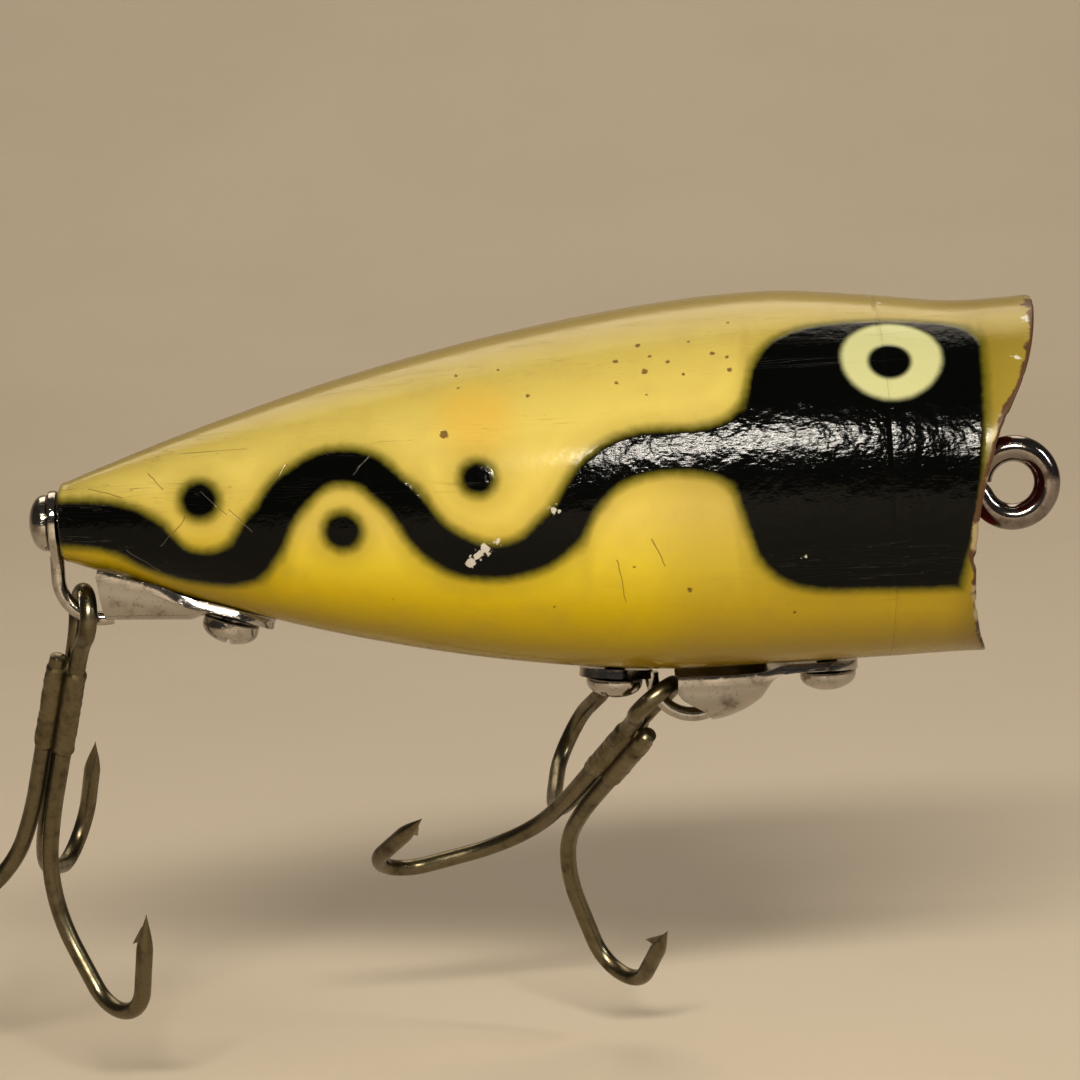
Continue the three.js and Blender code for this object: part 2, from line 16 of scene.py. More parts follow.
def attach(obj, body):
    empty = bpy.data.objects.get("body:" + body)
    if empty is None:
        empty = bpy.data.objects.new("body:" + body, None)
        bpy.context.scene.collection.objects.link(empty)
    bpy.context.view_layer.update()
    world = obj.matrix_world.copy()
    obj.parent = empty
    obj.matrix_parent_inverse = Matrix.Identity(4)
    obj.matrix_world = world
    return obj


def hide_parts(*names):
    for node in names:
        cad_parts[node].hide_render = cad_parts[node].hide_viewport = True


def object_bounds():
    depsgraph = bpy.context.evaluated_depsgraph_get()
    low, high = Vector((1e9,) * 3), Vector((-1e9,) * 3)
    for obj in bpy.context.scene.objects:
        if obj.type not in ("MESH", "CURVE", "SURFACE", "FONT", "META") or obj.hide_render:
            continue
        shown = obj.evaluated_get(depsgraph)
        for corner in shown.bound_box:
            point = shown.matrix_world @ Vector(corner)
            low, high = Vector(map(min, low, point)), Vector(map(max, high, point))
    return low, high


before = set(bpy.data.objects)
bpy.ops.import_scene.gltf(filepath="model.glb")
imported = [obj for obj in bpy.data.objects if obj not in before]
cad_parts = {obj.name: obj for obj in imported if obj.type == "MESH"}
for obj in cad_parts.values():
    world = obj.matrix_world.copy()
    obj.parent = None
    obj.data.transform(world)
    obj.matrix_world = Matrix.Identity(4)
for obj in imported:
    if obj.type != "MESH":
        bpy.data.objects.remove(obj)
cad_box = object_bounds()

MM = 0.001

# ---- Driving dimensions, as in the part's source (millimetres) ----

BODY_OUTLINE = [
    (0, 2.45), (3, 3.55), (9, 5.62), (18.8, 8.47), (28.6, 10.57),
    (38.5, 11.87), (46.5, 12.12), (53, 11.8), (58.7, 11.43), (65, 11.6),
]  # (station, radius)
BODY_BOW = [
    (0, 0), (14, 0), (28.6, 0.12), (38.5, 0.31), (46.5, 0.54), (53, 0.29), (58.7, 0), (65, 0),
]  # (station, height of the section's centre)
SEAM_STATION = 53.3
SEAM_GAP = 0.004
SEAM_EDGE = 0.006
TAIL_CORNER = 0.5
SOCKET = (44.5, 10.2)  # (station, radius)
SPIGOT = (45.2, 9.9)
MOUTH_RIM = [
    (-14, 61.6), (-11.6, 60), (-9.2, 58.9), (-5.5, 58.4), (-1, 58.7),
    (3.6, 60.1), (7.8, 62.3), (11.3, 63.6), (14, 64.6),
]  # (height, station)
MOUTH_CUP = [
    (54.3, 0), (54.5, 3.2), (55.2, 6.2), (56.6, 8.8), (58.6, 10.2), (61.5, 10.65), (66, 10.8),
]  # (station, radius)
RIM_ROUNDING = 0.3

TIE_STATION = 62.1
TIE_HEIGHT = -0.65
TIE_WIRE_RADIUS = 0.86
TIE_RING_RADIUS = 2.25

SHEET = 0.6
SEAT_GAP = 0.15
PLATE_HALF_WIDTH = 2.5
NECK_RADIUS = 0.5
CUP_FLANGE = 0.4
BELLY_FLANGE = 12.45  # below the axis, at the belly cup's mouth
BELLY_PIVOT = (40.65, -12.15)
BELLY_NECK = (2.7, -36, 96)  # radius, degrees from straight down towards the tail
TAIL_PIVOT = (2.35, -3.65)
TAIL_NECK = (2.8, -12, 90)

HEAD_RADIUS = 1.85
HEAD_HEIGHT = 1.25
HEAD_SEAT = SEAT_GAP + SHEET + 0.1
SLOT_WIDTH = 0.42
SLOT_DEPTH = 0.5
SCREW_LENGTH = 5.6
SCREW_ROOT = 0.7
SCREW_CREST = 0.95
SCREW_PITCH = 0.9

HOOK_WIRE = 0.57  # round, inside the part's eight-sided wire
WIRE_OFFSET = 0.8
EYE_RADIUS = 1.63
SHANK_LENGTH = 14.2
SPREAD_ARCS = [(33, 7.5), (8.8, 50)]
SPREAD_STRAIGHT = 2.9
BEND_ARC = (2.8, 131.5)
POINT_STRAIGHT = 3.2
POINT_TAPER = 2.8
CUT_END = 3.2
BRAZE_SPAN = (3.6, 11.0)
BRAZE_RADIUS = 0.69

TREBLES = {
    "belly_treble": {
        "pivot": BELLY_PIVOT, "reach": 3.05, "angle": 57.5,
        "lean": 33.4, "tilt": 50, "twist": -24, "single_faces": "nose",
    },
    "tail_treble": {
        "pivot": TAIL_PIVOT, "reach": 2.93, "angle": 28,
        "lean": 15.5, "tilt": 25, "twist": 21, "single_faces": "tail",
    },
}


# ---- Curves ----

def smooth_curve(points, at):
    """The value at each place of a smooth curve through (place, value) points."""
    x, y = np.array(points, float).T
    steps = np.diff(y) / np.diff(x)
    inner = (y[2:] - y[:-2]) / (x[2:] - x[:-2])
    slope = np.concatenate([steps[:1], inner, steps[-1:]])
    at = np.asarray(at, float)
    i = np.clip(np.searchsorted(x, at, side="right") - 1, 0, len(x) - 2)
    span = x[i + 1] - x[i]
    u = (at - x[i]) / span
    blend = u * u * (3 - 2 * u)
    rise = slope[i] * u * (1 - u) ** 2 - slope[i + 1] * u * u * (1 - u)
    return y[i] * (1 - blend) + y[i + 1] * blend + rise * span


def body_radius(station):
    return smooth_curve(BODY_OUTLINE, station)


def body_bow(station):
    return np.where(np.asarray(station) > 0, smooth_curve(BODY_BOW, station), 0)


def belly_height(station):
    return body_bow(station) - body_radius(station)


def belly_tilt(station):
    """The underside's fall towards the nose, in radians."""
    return math.atan2(float(belly_height(station - 0.5) - belly_height(station + 0.5)), 1.0)


def bowed(points):
    """Points made round the straight axis, lifted to the body's bow."""
    points = np.array(points, float)
    points[:, 2] += body_bow(points[:, 0])
    return points


def step_up(value, low, high):
    """0 below low, 1 above high, and smooth between them."""
    u = np.clip((value - low) / (high - low), 0, 1)
    return u * u * (3 - 2 * u)


def arc_below(pivot, radius, start, end, steps):
    """Points of an arc in the XZ plane; its angles run from straight down towards the tail."""
    angles = np.radians(np.linspace(start, end, steps + 1))
    return np.stack([
        pivot[0] - radius * np.sin(angles),
        np.zeros_like(angles),
        pivot[1] - radius * np.cos(angles),
    ], axis=1)


# ---- Meshes ----

def to_row(points):
    """Millimetres from the tail's end face and the body's axis, to the frame's metres."""
    return (np.asarray(points, float) - (TIE_STATION, 0, TIE_HEIGHT)) * MM


def strip_faces(rows, columns, around=True, first=0):
    """Quads between consecutive rows of points; around joins each row's end to its start."""
    last = columns if around else columns - 1
    return [
        (first + i * columns + k, first + i * columns + (k + 1) % columns,
         first + (i + 1) * columns + (k + 1) % columns, first + (i + 1) * columns + k)
        for i in range(rows - 1) for k in range(last)
    ]


def loft(rings, first=0):
    """Points and faces of a closed skin through rings of equal length, capped at both ends."""
    columns = len(rings[0])
    faces = strip_faces(len(rings), columns, first=first)
    faces.append(tuple(range(first, first + columns)))
    end = first + columns * (len(rings) - 1)
    faces.append(tuple(range(end, end + columns)))
    return np.concatenate(rings), faces


def merged(*shells):
    """Several (points, faces) shells as one."""
    points, faces, first = [], [], 0
    for shell_points, shell_faces in shells:
        points.append(shell_points)
        faces += [tuple(first + k for k in face) for face in shell_faces]
        first += len(shell_points)
    return np.concatenate(points), faces


def revolve(profile, sides):
    """A closed solid of revolution about the body's axis from (station, radius) pairs."""
    angles = np.linspace(0, 2 * math.pi, sides, endpoint=False)
    rings = [
        np.stack([np.full(sides, station), radius * np.sin(angles), radius * np.cos(angles)], axis=1)
        for station, radius in profile
    ]
    return loft(rings)


def sweep(path, radius, sides, section=None):
    """A wire along a path. radius is one number or one per point; section scales it round the wire."""
    path = np.asarray(path, float)
    radii = np.broadcast_to(radius, len(path))
    along = np.gradient(path, axis=0)
    along /= np.linalg.norm(along, axis=1)[:, None]
    across = np.cross(along[0], (0, 1, 0) if abs(along[0][1]) < 0.9 else (1, 0, 0))
    angles = np.linspace(0, 2 * math.pi, sides, endpoint=False)
    shape = np.ones(sides) if section is None else section(angles)
    rings = []
    for point, direction, size in zip(path, along, radii):
        across = across - direction * (across @ direction)
        across /= np.linalg.norm(across)
        third = np.cross(direction, across)
        ring = np.outer(np.cos(angles) * shape, across) + np.outer(np.sin(angles) * shape, third)
        rings.append(point + size * ring)
    return loft(rings)


def put(made):
    """Into the scene."""
    bpy.context.scene.collection.objects.link(made)


def new_mesh(name, points, faces, sharp_degrees=35, marks=()):
    """A smooth mesh with sharp edges; where marks, (name, values), are given no point is merged."""
    mesh = bpy.data.meshes.new(name)
    mesh.from_pydata([tuple(p) for p in points], [], faces)
    for mark, values in marks:
        attribute = mesh.attributes.new(mark, "FLOAT", "POINT")
        attribute.data.foreach_set("value", values.astype(np.float32))
    shape = bmesh.new()
    shape.from_mesh(mesh)
    if not marks:
        bmesh.ops.remove_doubles(shape, verts=shape.verts, dist=1e-7)
    bmesh.ops.recalc_face_normals(shape, faces=shape.faces)
    shape.to_mesh(mesh)
    shape.free()
    mesh.shade_smooth()
    mesh.set_sharp_from_angle(angle=math.radians(sharp_degrees))
    return mesh


def show(name, mesh, material, node, body):
    """The mesh is shown in place of a CAD node, which is hidden; it moves with a body and takes the
    given material.
    """
    piece = bpy.data.objects.new(name, mesh)
    put(piece)
    mesh.materials.append(material)
    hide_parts(node)
    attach(piece, body)
    return piece


def workpiece(name, points, faces):
    """An object to be shaped by modifiers."""
    piece = bpy.data.objects.new(name, new_mesh(name, points, faces))
    put(piece)
    return piece


def modify(piece, kind, **settings):
    modifier = piece.modifiers.new(kind, kind)
    for key, value in settings.items():
        setattr(modifier, key, value)


def soften(piece, width, segments, degrees):
    """Rounds the edges that are sharper than so many degrees."""
    angle = math.radians(degrees)
    modify(piece, "BEVEL", width=width, segments=segments, limit_method="ANGLE", angle_limit=angle)


def settled(piece):
    """The points and faces of a workpiece with its modifiers carried out; the piece is removed."""
    graph = bpy.context.evaluated_depsgraph_get()
    mesh = bpy.data.meshes.new_from_object(piece.evaluated_get(graph))
    bpy.data.objects.remove(piece)
    return np.array([v.co for v in mesh.vertices]), [tuple(f.vertices) for f in mesh.polygons]


def bezier(start, start_pull, end_pull, end, steps):
    """Points of a cubic curve, without its last one."""
    t = np.linspace(0, 1, steps)[:-1, None]
    leaving = start * (1 - t) ** 3 + 3 * start_pull * t * (1 - t) ** 2
    return leaving + 3 * end_pull * t ** 2 * (1 - t) + end * t ** 3


# ---- Shader trees ----

class Shader:
    """A material's node tree, with short calls for the nodes used here."""

    def __init__(self, name):
        self.material = bpy.data.materials.new(name)
        self.material.use_nodes = True
        self.tree = self.material.node_tree
        self.tree.nodes.clear()
        self.surface = self.tree.nodes.new("ShaderNodeBsdfPrincipled")
        output = self.tree.nodes.new("ShaderNodeOutputMaterial")
        self.tree.links.new(self.surface.outputs["BSDF"], output.inputs["Surface"])

    def feed(self, socket, value):
        if isinstance(value, bpy.types.NodeSocket):
            self.tree.links.new(value, socket)
        else:
            socket.default_value = value

    def node(self, kind, inputs, **settings):
        made = self.tree.nodes.new("ShaderNode" + kind)
        for key, value in settings.items():
            setattr(made, key, value)
        for key, value in inputs.items():
            self.feed(made.inputs[key], value)
        return made

    def math(self, operation, a, b=0.0, c=0.0, clamp=False):
        made = self.node("Math", {0: a, 1: b, 2: c}, operation=operation)
        made.use_clamp = clamp
        return made.outputs[0]

    def add(self, a, b):
        return self.math("ADD", a, b)

    def minus(self, a, b):
        return self.math("SUBTRACT", a, b)

    def times(self, a, b):
        return self.math("MULTIPLY", a, b)

    def larger(self, a, b):
        return self.math("MAXIMUM", a, b)

    def absolute(self, a):
        return self.math("ABSOLUTE", a)

    def wobble(self, scale, detail, place, size):
        """Noise about zero."""
        return self.times(self.minus(self.noise(scale, detail, place), 0.5), size)

    def between(self, value, low, high, start=0.0, end=1.0):
        """start below low, end above high, and smooth between them."""
        inputs = {"Value": value, "From Min": low, "From Max": high, "To Min": start, "To Max": end}
        return self.node("MapRange", inputs, interpolation_type="SMOOTHSTEP").outputs[0]

    def mix(self, share, below, above, blend="MIX"):
        made = self.node("Mix", {}, data_type="RGBA", blend_type=blend)
        self.feed(made.inputs[0], share)
        self.feed(made.inputs[6], below)
        self.feed(made.inputs[7], above)
        return made.outputs[2]

    def position(self):
        """The point in the frame's metres, which stays with the piece when its body moves."""
        return self.node("TexCoord", {}).outputs["Object"]

    def stretched(self, scale, turn=(0, 0, 0), place=None):
        inputs = {"Vector": place or self.position(), "Scale": scale, "Rotation": turn}
        return self.node("Mapping", inputs).outputs[0]

    def millimetres(self):
        return self.stretched((1 / MM, 1 / MM, 1 / MM))

    def noise(self, scale, detail=3.0, place=None, roughness=0.5):
        inputs = {"Scale": scale, "Detail": detail, "Roughness": roughness}
        inputs["Vector"] = place or self.position()
        return self.node("TexNoise", inputs).outputs[0]

    def bump(self, height, strength, distance, under=None):
        inputs = {"Height": height, "Strength": strength, "Distance": distance}
        if under is not None:
            inputs["Normal"] = under
        return self.node("Bump", inputs).outputs[0]

    def ramp(self, value, stops):
        made = self.node("ValToRGB", {0: value})
        elements = made.color_ramp.elements
        while len(elements) < len(stops):
            elements.new(0.5)
        for element, (place, colour) in zip(elements, stops):
            element.position = place
            element.color = (*colour, 1)
        return made.outputs[0]

    def curve(self, value, points, places, heights):
        """A smooth curve through (place, height) points, read at value."""
        (left, right), (low, high) = places, heights
        share = self.node("MapRange", {"Value": value, "From Min": left, "From Max": right}).outputs[0]
        made = self.node("FloatCurve", {"Value": share})
        line = made.mapping.curves[0]
        for _ in points[1:-1]:
            line.points.new(0.5, 0.5)
        for point, (place, height) in zip(line.points, points):
            point.location = ((place - left) / (right - left), (height - low) / (high - low))
        made.mapping.update()
        inputs = {"Value": made.outputs[0], "To Min": low, "To Max": high}
        return self.node("MapRange", inputs).outputs[0]


def scratches(shader, place, density, keep):
    """Fine scratches in a few directions: 1 on a scratch, 0 elsewhere."""
    line_width = 0.006
    total = 0.0
    for turn, offset in ((35, 0.0), (-28, 7.0), (80, 13.0)):
        lines = shader.stretched((density * 0.05, density, density), (0, 0, math.radians(turn)), place)
        inputs = {0: lines, 1: (offset, offset, offset)}
        moved = shader.node("VectorMath", inputs, operation="ADD").outputs[0]
        wave = shader.minus(shader.noise(1.0, 1.0, moved), 0.5)
        line = shader.between(shader.absolute(wave), 0.0, line_width, 1.0, 0.0)
        here = shader.between(shader.noise(0.09 * density / 3, 2.0, moved), keep, keep + 0.08)
        total = shader.larger(total, shader.times(line, here))
    return total


# ---- Paint on the body ----

# Places on the body's skin are (station, arc): arc is measured round the body from the middle of
# its side, upwards, in millimetres. Both sides carry the same pattern.
BLACK_TOP_EDGE = [
    (0, 1.7), (4.3, 1.4), (6.6, 0.4), (9.7, -1.8), (12.8, 0.7), (15.2, 3.4), (19, 4.8),
    (23.1, 2.4), (26, -0.8), (28.6, -1.6), (31.3, 0), (34.5, 3.9), (37, 5.1), (42.4, 5.5),
    (44, 6.6), (45.2, 10), (47.2, 12.2), (50, 13.1), (56, 13.1), (58.2, 12.5), (59.4, 11), (60, 9),
]
BLACK_BOTTOM_EDGE = [
    (0, -1.3), (3.4, -1.7), (6, -3.2), (9.5, -4.3), (12.3, -4.1), (14.3, -2.2), (16.4, 1.2),
    (18.9, 2.6), (21, 1.4), (24.1, -2.5), (26.4, -3.7), (29.8, -3.7), (33.3, -1.8), (35, 0.8),
    (37.2, 2.3), (41, 2.5), (42.9, 1.8), (44, -0.8), (45.3, -3.9), (47.5, -5.4), (52, -5.9), (60, -6.2),
]
BLACK_FRONT_EDGE = [
    (-10, 56.8), (-6, 57.35), (-3, 58.0), (1, 58.8), (6, 59.3), (16, 59.7),
]  # (arc, station)
FRONT_ARCS = (-10, 16)
FRONT_STATIONS = (50, 62)
STATIONS = (0, 65)
ARCS = (-12, 20)
DOTS = [(9.55, 1.65, 1.17), (18.7, -0.5, 1.12), (27.4, 2.65, 1.0)]  # (station, arc, radius)
EYE = (53.75, 9.72, 3.2)
PUPIL = (53.6, 9.42, 1.3)
CHIPS = [
    (25.4, 5.6, 0.32), (26.3, 10.4, 0.14), (26.4, 9.2, 0.12), (29.0, 10.6, 0.13), (30.8, 8.2, 0.16),
    (36.4, 10.6, 0.2), (36.4, 8.8, 0.15), (37.9, 12.0, 0.22), (38.6, 10.9, 0.17), (38.2, 9.6, 0.24),
    (39.7, 10.3, 0.18), (40.6, 9.2, 0.15), (41.1, 12.0, 0.13), (42.5, 10.8, 0.2), (43.4, 10.4, 0.16),
    (43.5, 9.4, 0.19), (43.7, 13.8, 0.12), (38.2, 7.8, 0.12), (40.3, -5.2, 0.2), (47.7, 6.5, 0.14),
    (36.9, -3.4, 0.1), (31.8, -6.2, 0.12), (21.6, -5.4, 0.1), (46.9, -7.5, 0.14),
]  # (station, arc, radius): where the paint is chipped down to brown
PALE_CHIPS = [
    (62.75, 13.0, 0.42), (53.5, 16.2, 0.18), (27.7, -1.9, 0.40), (27.2, -2.25, 0.40),
    (26.65, -2.7, 0.38), (28.4, -1.4, 0.22), (32.1, 0.5, 0.30), (47.7, 6.4, 0.14),
    (47.6, -3.3, 0.14), (61.6, 9.2, 0.25),
]  # (station, arc, radius): where the paint is bruised to white
SCRATCHES = [
    ((6.2, 3.6), (7.2, 2.4)), ((9.7, 2.2), (11.2, 0.7)), ((6.9, -1.3), (8.6, 0.6)),
    ((11.4, 1.0), (12.9, -0.4)), ((4.5, -1.6), (6.6, -3.2)), ((14.1, 2.3), (15.3, 3.9)),
    ((35.8, -2.9), (36.3, -5.9)), ((19.5, 3.1), (20.6, 4.3)), ((38.0, -1.6), (38.9, -3.4)),
    ((2.2, 2.6), (4.4, 1.9)),
]  # from and to, each (station, arc)
STAIN = (27.4, 6.7, 2.4)

# Painted light and shade round the body: darkest under the belly, lightest round the side, darker again
# along the back.
YELLOW_SHADED_ROUND_THE_BODY = [
    (0.0, (0.26, 0.175, 0.004)), (0.2, (0.43, 0.315, 0.003)), (0.32, (0.58, 0.430, 0.006)),
    (0.4, (0.63, 0.495, 0.042)), (0.5, (0.60, 0.470, 0.110)), (0.68, (0.585, 0.475, 0.135)),
    (0.8, (0.50, 0.400, 0.108)), (0.92, (0.38, 0.290, 0.095)), (1.0, (0.33, 0.250, 0.085)),
]
OLIVE = (0.11, 0.098, 0.006, 1)
# A darker yellow: painted shade at the nose's flare, and the broad fringe of the black's overspray.
SHADE_AND_FRINGE_YELLOW = (0.21, 0.15, 0.012, 1)
FORE_YELLOW = (0.25, 0.17, 0.06, 1)
BLACK = (0.0018, 0.0019, 0.0012, 1)
CREAM = (0.50, 0.49, 0.26, 1)
ORANGE = (0.62, 0.34, 0.030, 1)
PALE = (0.60, 0.56, 0.48, 1)
CHIP_BROWN = (0.17, 0.095, 0.020, 1)
MOUTH_RED = (0.30, 0.022, 0.010, 1)
RIM_BROWN = (0.105, 0.055, 0.026, 1)
# The rim's pale flecks: partly chipped paint, partly painted glints of light on its edge.
RIM_CREAM_AND_GLINT = (0.34, 0.27, 0.15, 1)
MOUTH_SMEAR = (0.12, 0.018, 0.010, 1)
WORN_YELLOW = (0.36, 0.25, 0.07, 1)
SCRATCHED_YELLOW = (0.20, 0.13, 0.03, 1)
SCRATCHED_BLACK = (0.10, 0.10, 0.08, 1)
SEAM_DIRT = (0.05, 0.035, 0.012, 1)
GLOSS = (0.035, 0.09)  # roughness of the black, from polished to worn
DULLER = {"yellow": 0.12, "black": 0.045, "chipped": 0.3, "mouth": 0.22}  # added to that
PAINT_IOR = 1.33


class Skin(Shader):
    """The body's paint, laid out by each point's station and arc on the skin."""

    def __init__(self, name):
        super().__init__(name)
        split = self.node("SeparateXYZ", {0: self.position()})
        self.station = self.math("MULTIPLY_ADD", split.outputs[0], 1 / MM, TIE_STATION)
        height = self.math("MULTIPLY_ADD", split.outputs[2], 1 / MM, TIE_HEIGHT)
        side = self.times(self.absolute(split.outputs[1]), 1 / MM)
        turn = self.math("ARCTAN2", height, side)
        squares = self.add(self.math("POWER", height, 2.0), self.math("POWER", side, 2.0))
        self.arc = self.times(turn, self.math("SQRT", squares))
        # angle sets the painted light and shade round the body.
        self.angle = self.math("MULTIPLY_ADD", turn, 1 / math.pi, 0.5)  # 0 below, 1 along the back
        self.place = self.node("CombineXYZ", {0: self.station, 1: self.arc}).outputs[0]
        self.cloud = self.noise(0.35, 3.0, self.place)
        self.wander = self.wobble(1.6, 2.0, self.place, 0.22)
        self.from_seam = self.absolute(self.minus(self.station, SEAM_STATION))

    def inside_circle(self, circle):
        """How far a place lies inside a painted circle, in millimetres."""
        middle, up, radius = circle
        dx = self.minus(self.station, middle)
        dy = self.minus(self.arc, up)
        squares = self.add(self.times(dx, dx), self.times(dy, dy))
        return self.minus(radius, self.math("SQRT", squares))

    def inside_any(self, circles):
        """How far a place lies inside the nearest of several circles, in millimetres."""
        depth = -1.0
        for circle in circles:
            depth = self.larger(depth, self.inside_circle(circle))
        return depth

    def inside_edge(self, points, sign):
        """How far a place lies below (sign 1) or above (sign -1) a painted edge, square to it."""
        ahead_by = 0.3
        edge = self.curve(self.station, points, STATIONS, ARCS)
        ahead = self.curve(self.add(self.station, ahead_by), points, STATIONS, ARCS)
        slope = self.math("DIVIDE", self.minus(ahead, edge), ahead_by)
        length = self.math("SQRT", self.add(self.times(slope, slope), 1.0))
        return self.math("DIVIDE", self.times(self.minus(edge, self.arc), sign), length)

    def from_line(self, station, start, end):
        """How far a place lies from the line between two others, in millimetres."""
        along = (end[0] - start[0], end[1] - start[1])
        length = math.hypot(*along)
        ahead, up = along[0] / length, along[1] / length
        dx = self.minus(station, start[0])
        dy = self.minus(self.arc, start[1])
        run = self.add(self.times(dx, ahead), self.times(dy, up))
        off = self.minus(self.times(dx, up), self.times(dy, ahead))
        from_middle = self.absolute(self.minus(run, length / 2))
        return self.larger(self.absolute(off), self.minus(from_middle, length / 2))

    def black_depth(self):
        """How far a place lies inside the black pattern, in millimetres."""
        below = self.inside_edge(BLACK_TOP_EDGE, 1.0)
        above = self.inside_edge(BLACK_BOTTOM_EDGE, -1.0)
        front = self.curve(self.arc, BLACK_FRONT_EDGE, FRONT_ARCS, FRONT_STATIONS)
        behind = self.minus(front, self.station)
        depth = self.math("MINIMUM", self.math("MINIMUM", below, above), behind)
        for dot in DOTS:
            depth = self.larger(depth, self.inside_circle(dot))
        return depth


def yellow_ground(skin):
    """Yellow with painted shade below, on the back and at the nose; worn places, a stain, a darker
    patch.
    """
    around = skin.add(skin.angle, skin.times(skin.wander, 0.12))
    colour = skin.ramp(around, YELLOW_SHADED_ROUND_THE_BODY)
    colour = skin.mix(skin.between(skin.cloud, 0.45, 0.75, 0.0, 0.16), colour, WORN_YELLOW)
    # Painted shade where the nose flares out towards the mouth: the yellow there is darker.
    near_mouth = skin.between(skin.station, 56.3, 59.2)
    nose = skin.times(near_mouth, skin.between(skin.arc, 10.5, 13.5, 0.75, 0.25))
    colour = skin.mix(nose, colour, SHADE_AND_FRINGE_YELLOW)
    stain = skin.between(skin.inside_circle(STAIN), -1.4, 1.6, 0.0, 0.34)
    colour = skin.mix(stain, colour, ORANGE)
    forward = skin.between(skin.station, 36.5, 41.5)
    fore = skin.times(forward, skin.between(skin.arc, 3.0, 7.0, 0.30, 0.0))
    return skin.mix(fore, colour, FORE_YELLOW)


def sprayed_pattern(skin, colour):
    """The black with its soft olive edge, then the eye. Also returns where each of them lies."""
    depth = skin.add(skin.black_depth(), skin.wander)
    colour = skin.mix(skin.between(depth, -2.0, 0.0, 0.0, 0.28), colour, SHADE_AND_FRINGE_YELLOW)
    colour = skin.mix(skin.between(depth, -0.7, 0.05, 0.0, 0.88), colour, OLIVE)
    black = skin.between(depth, -0.12, 0.3)
    colour = skin.mix(black, colour, BLACK)
    eye = skin.add(skin.inside_circle(EYE), skin.times(skin.wander, 0.6))
    pale = skin.between(eye, -0.3, 0.28)
    colour = skin.mix(pale, colour, CREAM)
    pupil = skin.between(skin.inside_circle(PUPIL), -0.32, 0.16)
    colour = skin.mix(pupil, colour, BLACK)
    black = skin.larger(skin.math("SUBTRACT", black, pale, clamp=True), pupil)
    return colour, black, pale


def chipped(skin, colour, black, pale):
    """Brown chips and flecks, and places bruised to white. Also returns where the chips lie."""
    ragged = skin.wobble(4.5, 2.0, skin.place, 0.3)
    chip = skin.add(skin.inside_any(CHIPS), ragged)
    fleck_room = skin.between(skin.noise(0.13, 2.0, skin.place), 0.48, 0.60)
    fleck = skin.times(skin.minus(skin.noise(1.35, 3.0, skin.place, 0.65), 0.725), 3.0)
    fleck = skin.minus(fleck, skin.minus(1.0, fleck_room))
    chip = skin.between(skin.larger(chip, fleck), 0.0, 0.09)
    shown = skin.math("SUBTRACT", 0.9, skin.larger(black, pale), clamp=True)
    colour = skin.mix(skin.times(chip, shown), colour, CHIP_BROWN)
    coarse = skin.wobble(2.6, 3.0, skin.place, 1.3)
    bruise = skin.between(skin.add(skin.inside_any(PALE_CHIPS), coarse), 0.0, 0.12)
    return skin.mix(skin.times(bruise, 0.85), colour, PALE), chip


def scratched(skin, colour, black):
    """Fine scratches, most of them near the tail, and a few long ones. Also returns where they lie."""
    near_tail = skin.between(skin.station, 6.0, 16.0, 1.0, 0.35)
    scratch = skin.times(scratches(skin, skin.place, 3.0, 0.56), near_tail)
    bend = skin.wobble(0.8, 1.0, skin.place, 0.5)
    bent_station = skin.add(skin.station, bend)
    for start, end in SCRATCHES:
        apart = skin.from_line(bent_station, start, end)
        scratch = skin.larger(scratch, skin.between(apart, 0.015, 0.06, 0.8, 0.0))
    shade = skin.mix(black, SCRATCHED_YELLOW, SCRATCHED_BLACK)
    return skin.mix(skin.times(scratch, 0.8), colour, shade), scratch


def mouth_and_rim(skin, colour, roughness):
    """The mouth's smeared red; the rim where paint has worn and chipped off, with pale chips and
    painted glints.
    """
    rim = skin.node("Attribute", {}, attribute_name="rim").outputs["Fac"]
    mouth = skin.node("Attribute", {}, attribute_name="mouth").outputs["Fac"]
    smear = skin.noise(0.6, 4.0, skin.millimetres())
    red = skin.mix(skin.between(smear, 0.4, 0.7, 0.0, 0.7), MOUTH_RED, MOUTH_SMEAR)
    colour = skin.mix(mouth, colour, red)
    uneven = skin.times(skin.minus(smear, 0.5), 1.6)
    bare = skin.between(skin.add(rim, uneven), 0.42, 0.62)
    # Cream flecks on the bare rim: pale chips and painted glints.
    pale_and_glinting = skin.between(skin.noise(0.5 / MM, 3.0), 0.52, 0.60)
    colour = skin.mix(bare, colour, skin.mix(pale_and_glinting, RIM_BROWN, RIM_CREAM_AND_GLINT))
    roughness = skin.math("MULTIPLY_ADD", skin.larger(rim, mouth), DULLER["mouth"], roughness)
    return colour, roughness


def skin_relief(skin, black, scratch, chip):
    """Orange peel, a hammered gloss on the black, brush lines, dents, and the seam's crease."""
    peel = skin.noise(1.1, 2.0, skin.place)
    normal = skin.bump(skin.times(peel, skin.add(skin.times(black, 0.85), 0.15)), 1.0, 0.075 * MM)
    fine = skin.noise(1.0, 3.0, skin.stretched((2.2, 7.0, 7.0), (0, 0, 0), skin.place), 0.6)
    normal = skin.bump(skin.times(fine, skin.add(black, 0.2)), 0.35, 0.03 * MM, normal)
    dents = skin.add(skin.times(scratch, -0.5), skin.times(chip, -1.0))
    normal = skin.bump(dents, 0.7, 0.05 * MM, normal)
    return skin.bump(skin.between(skin.from_seam, 0.02, 0.32), 1.0, 0.025 * MM, normal)


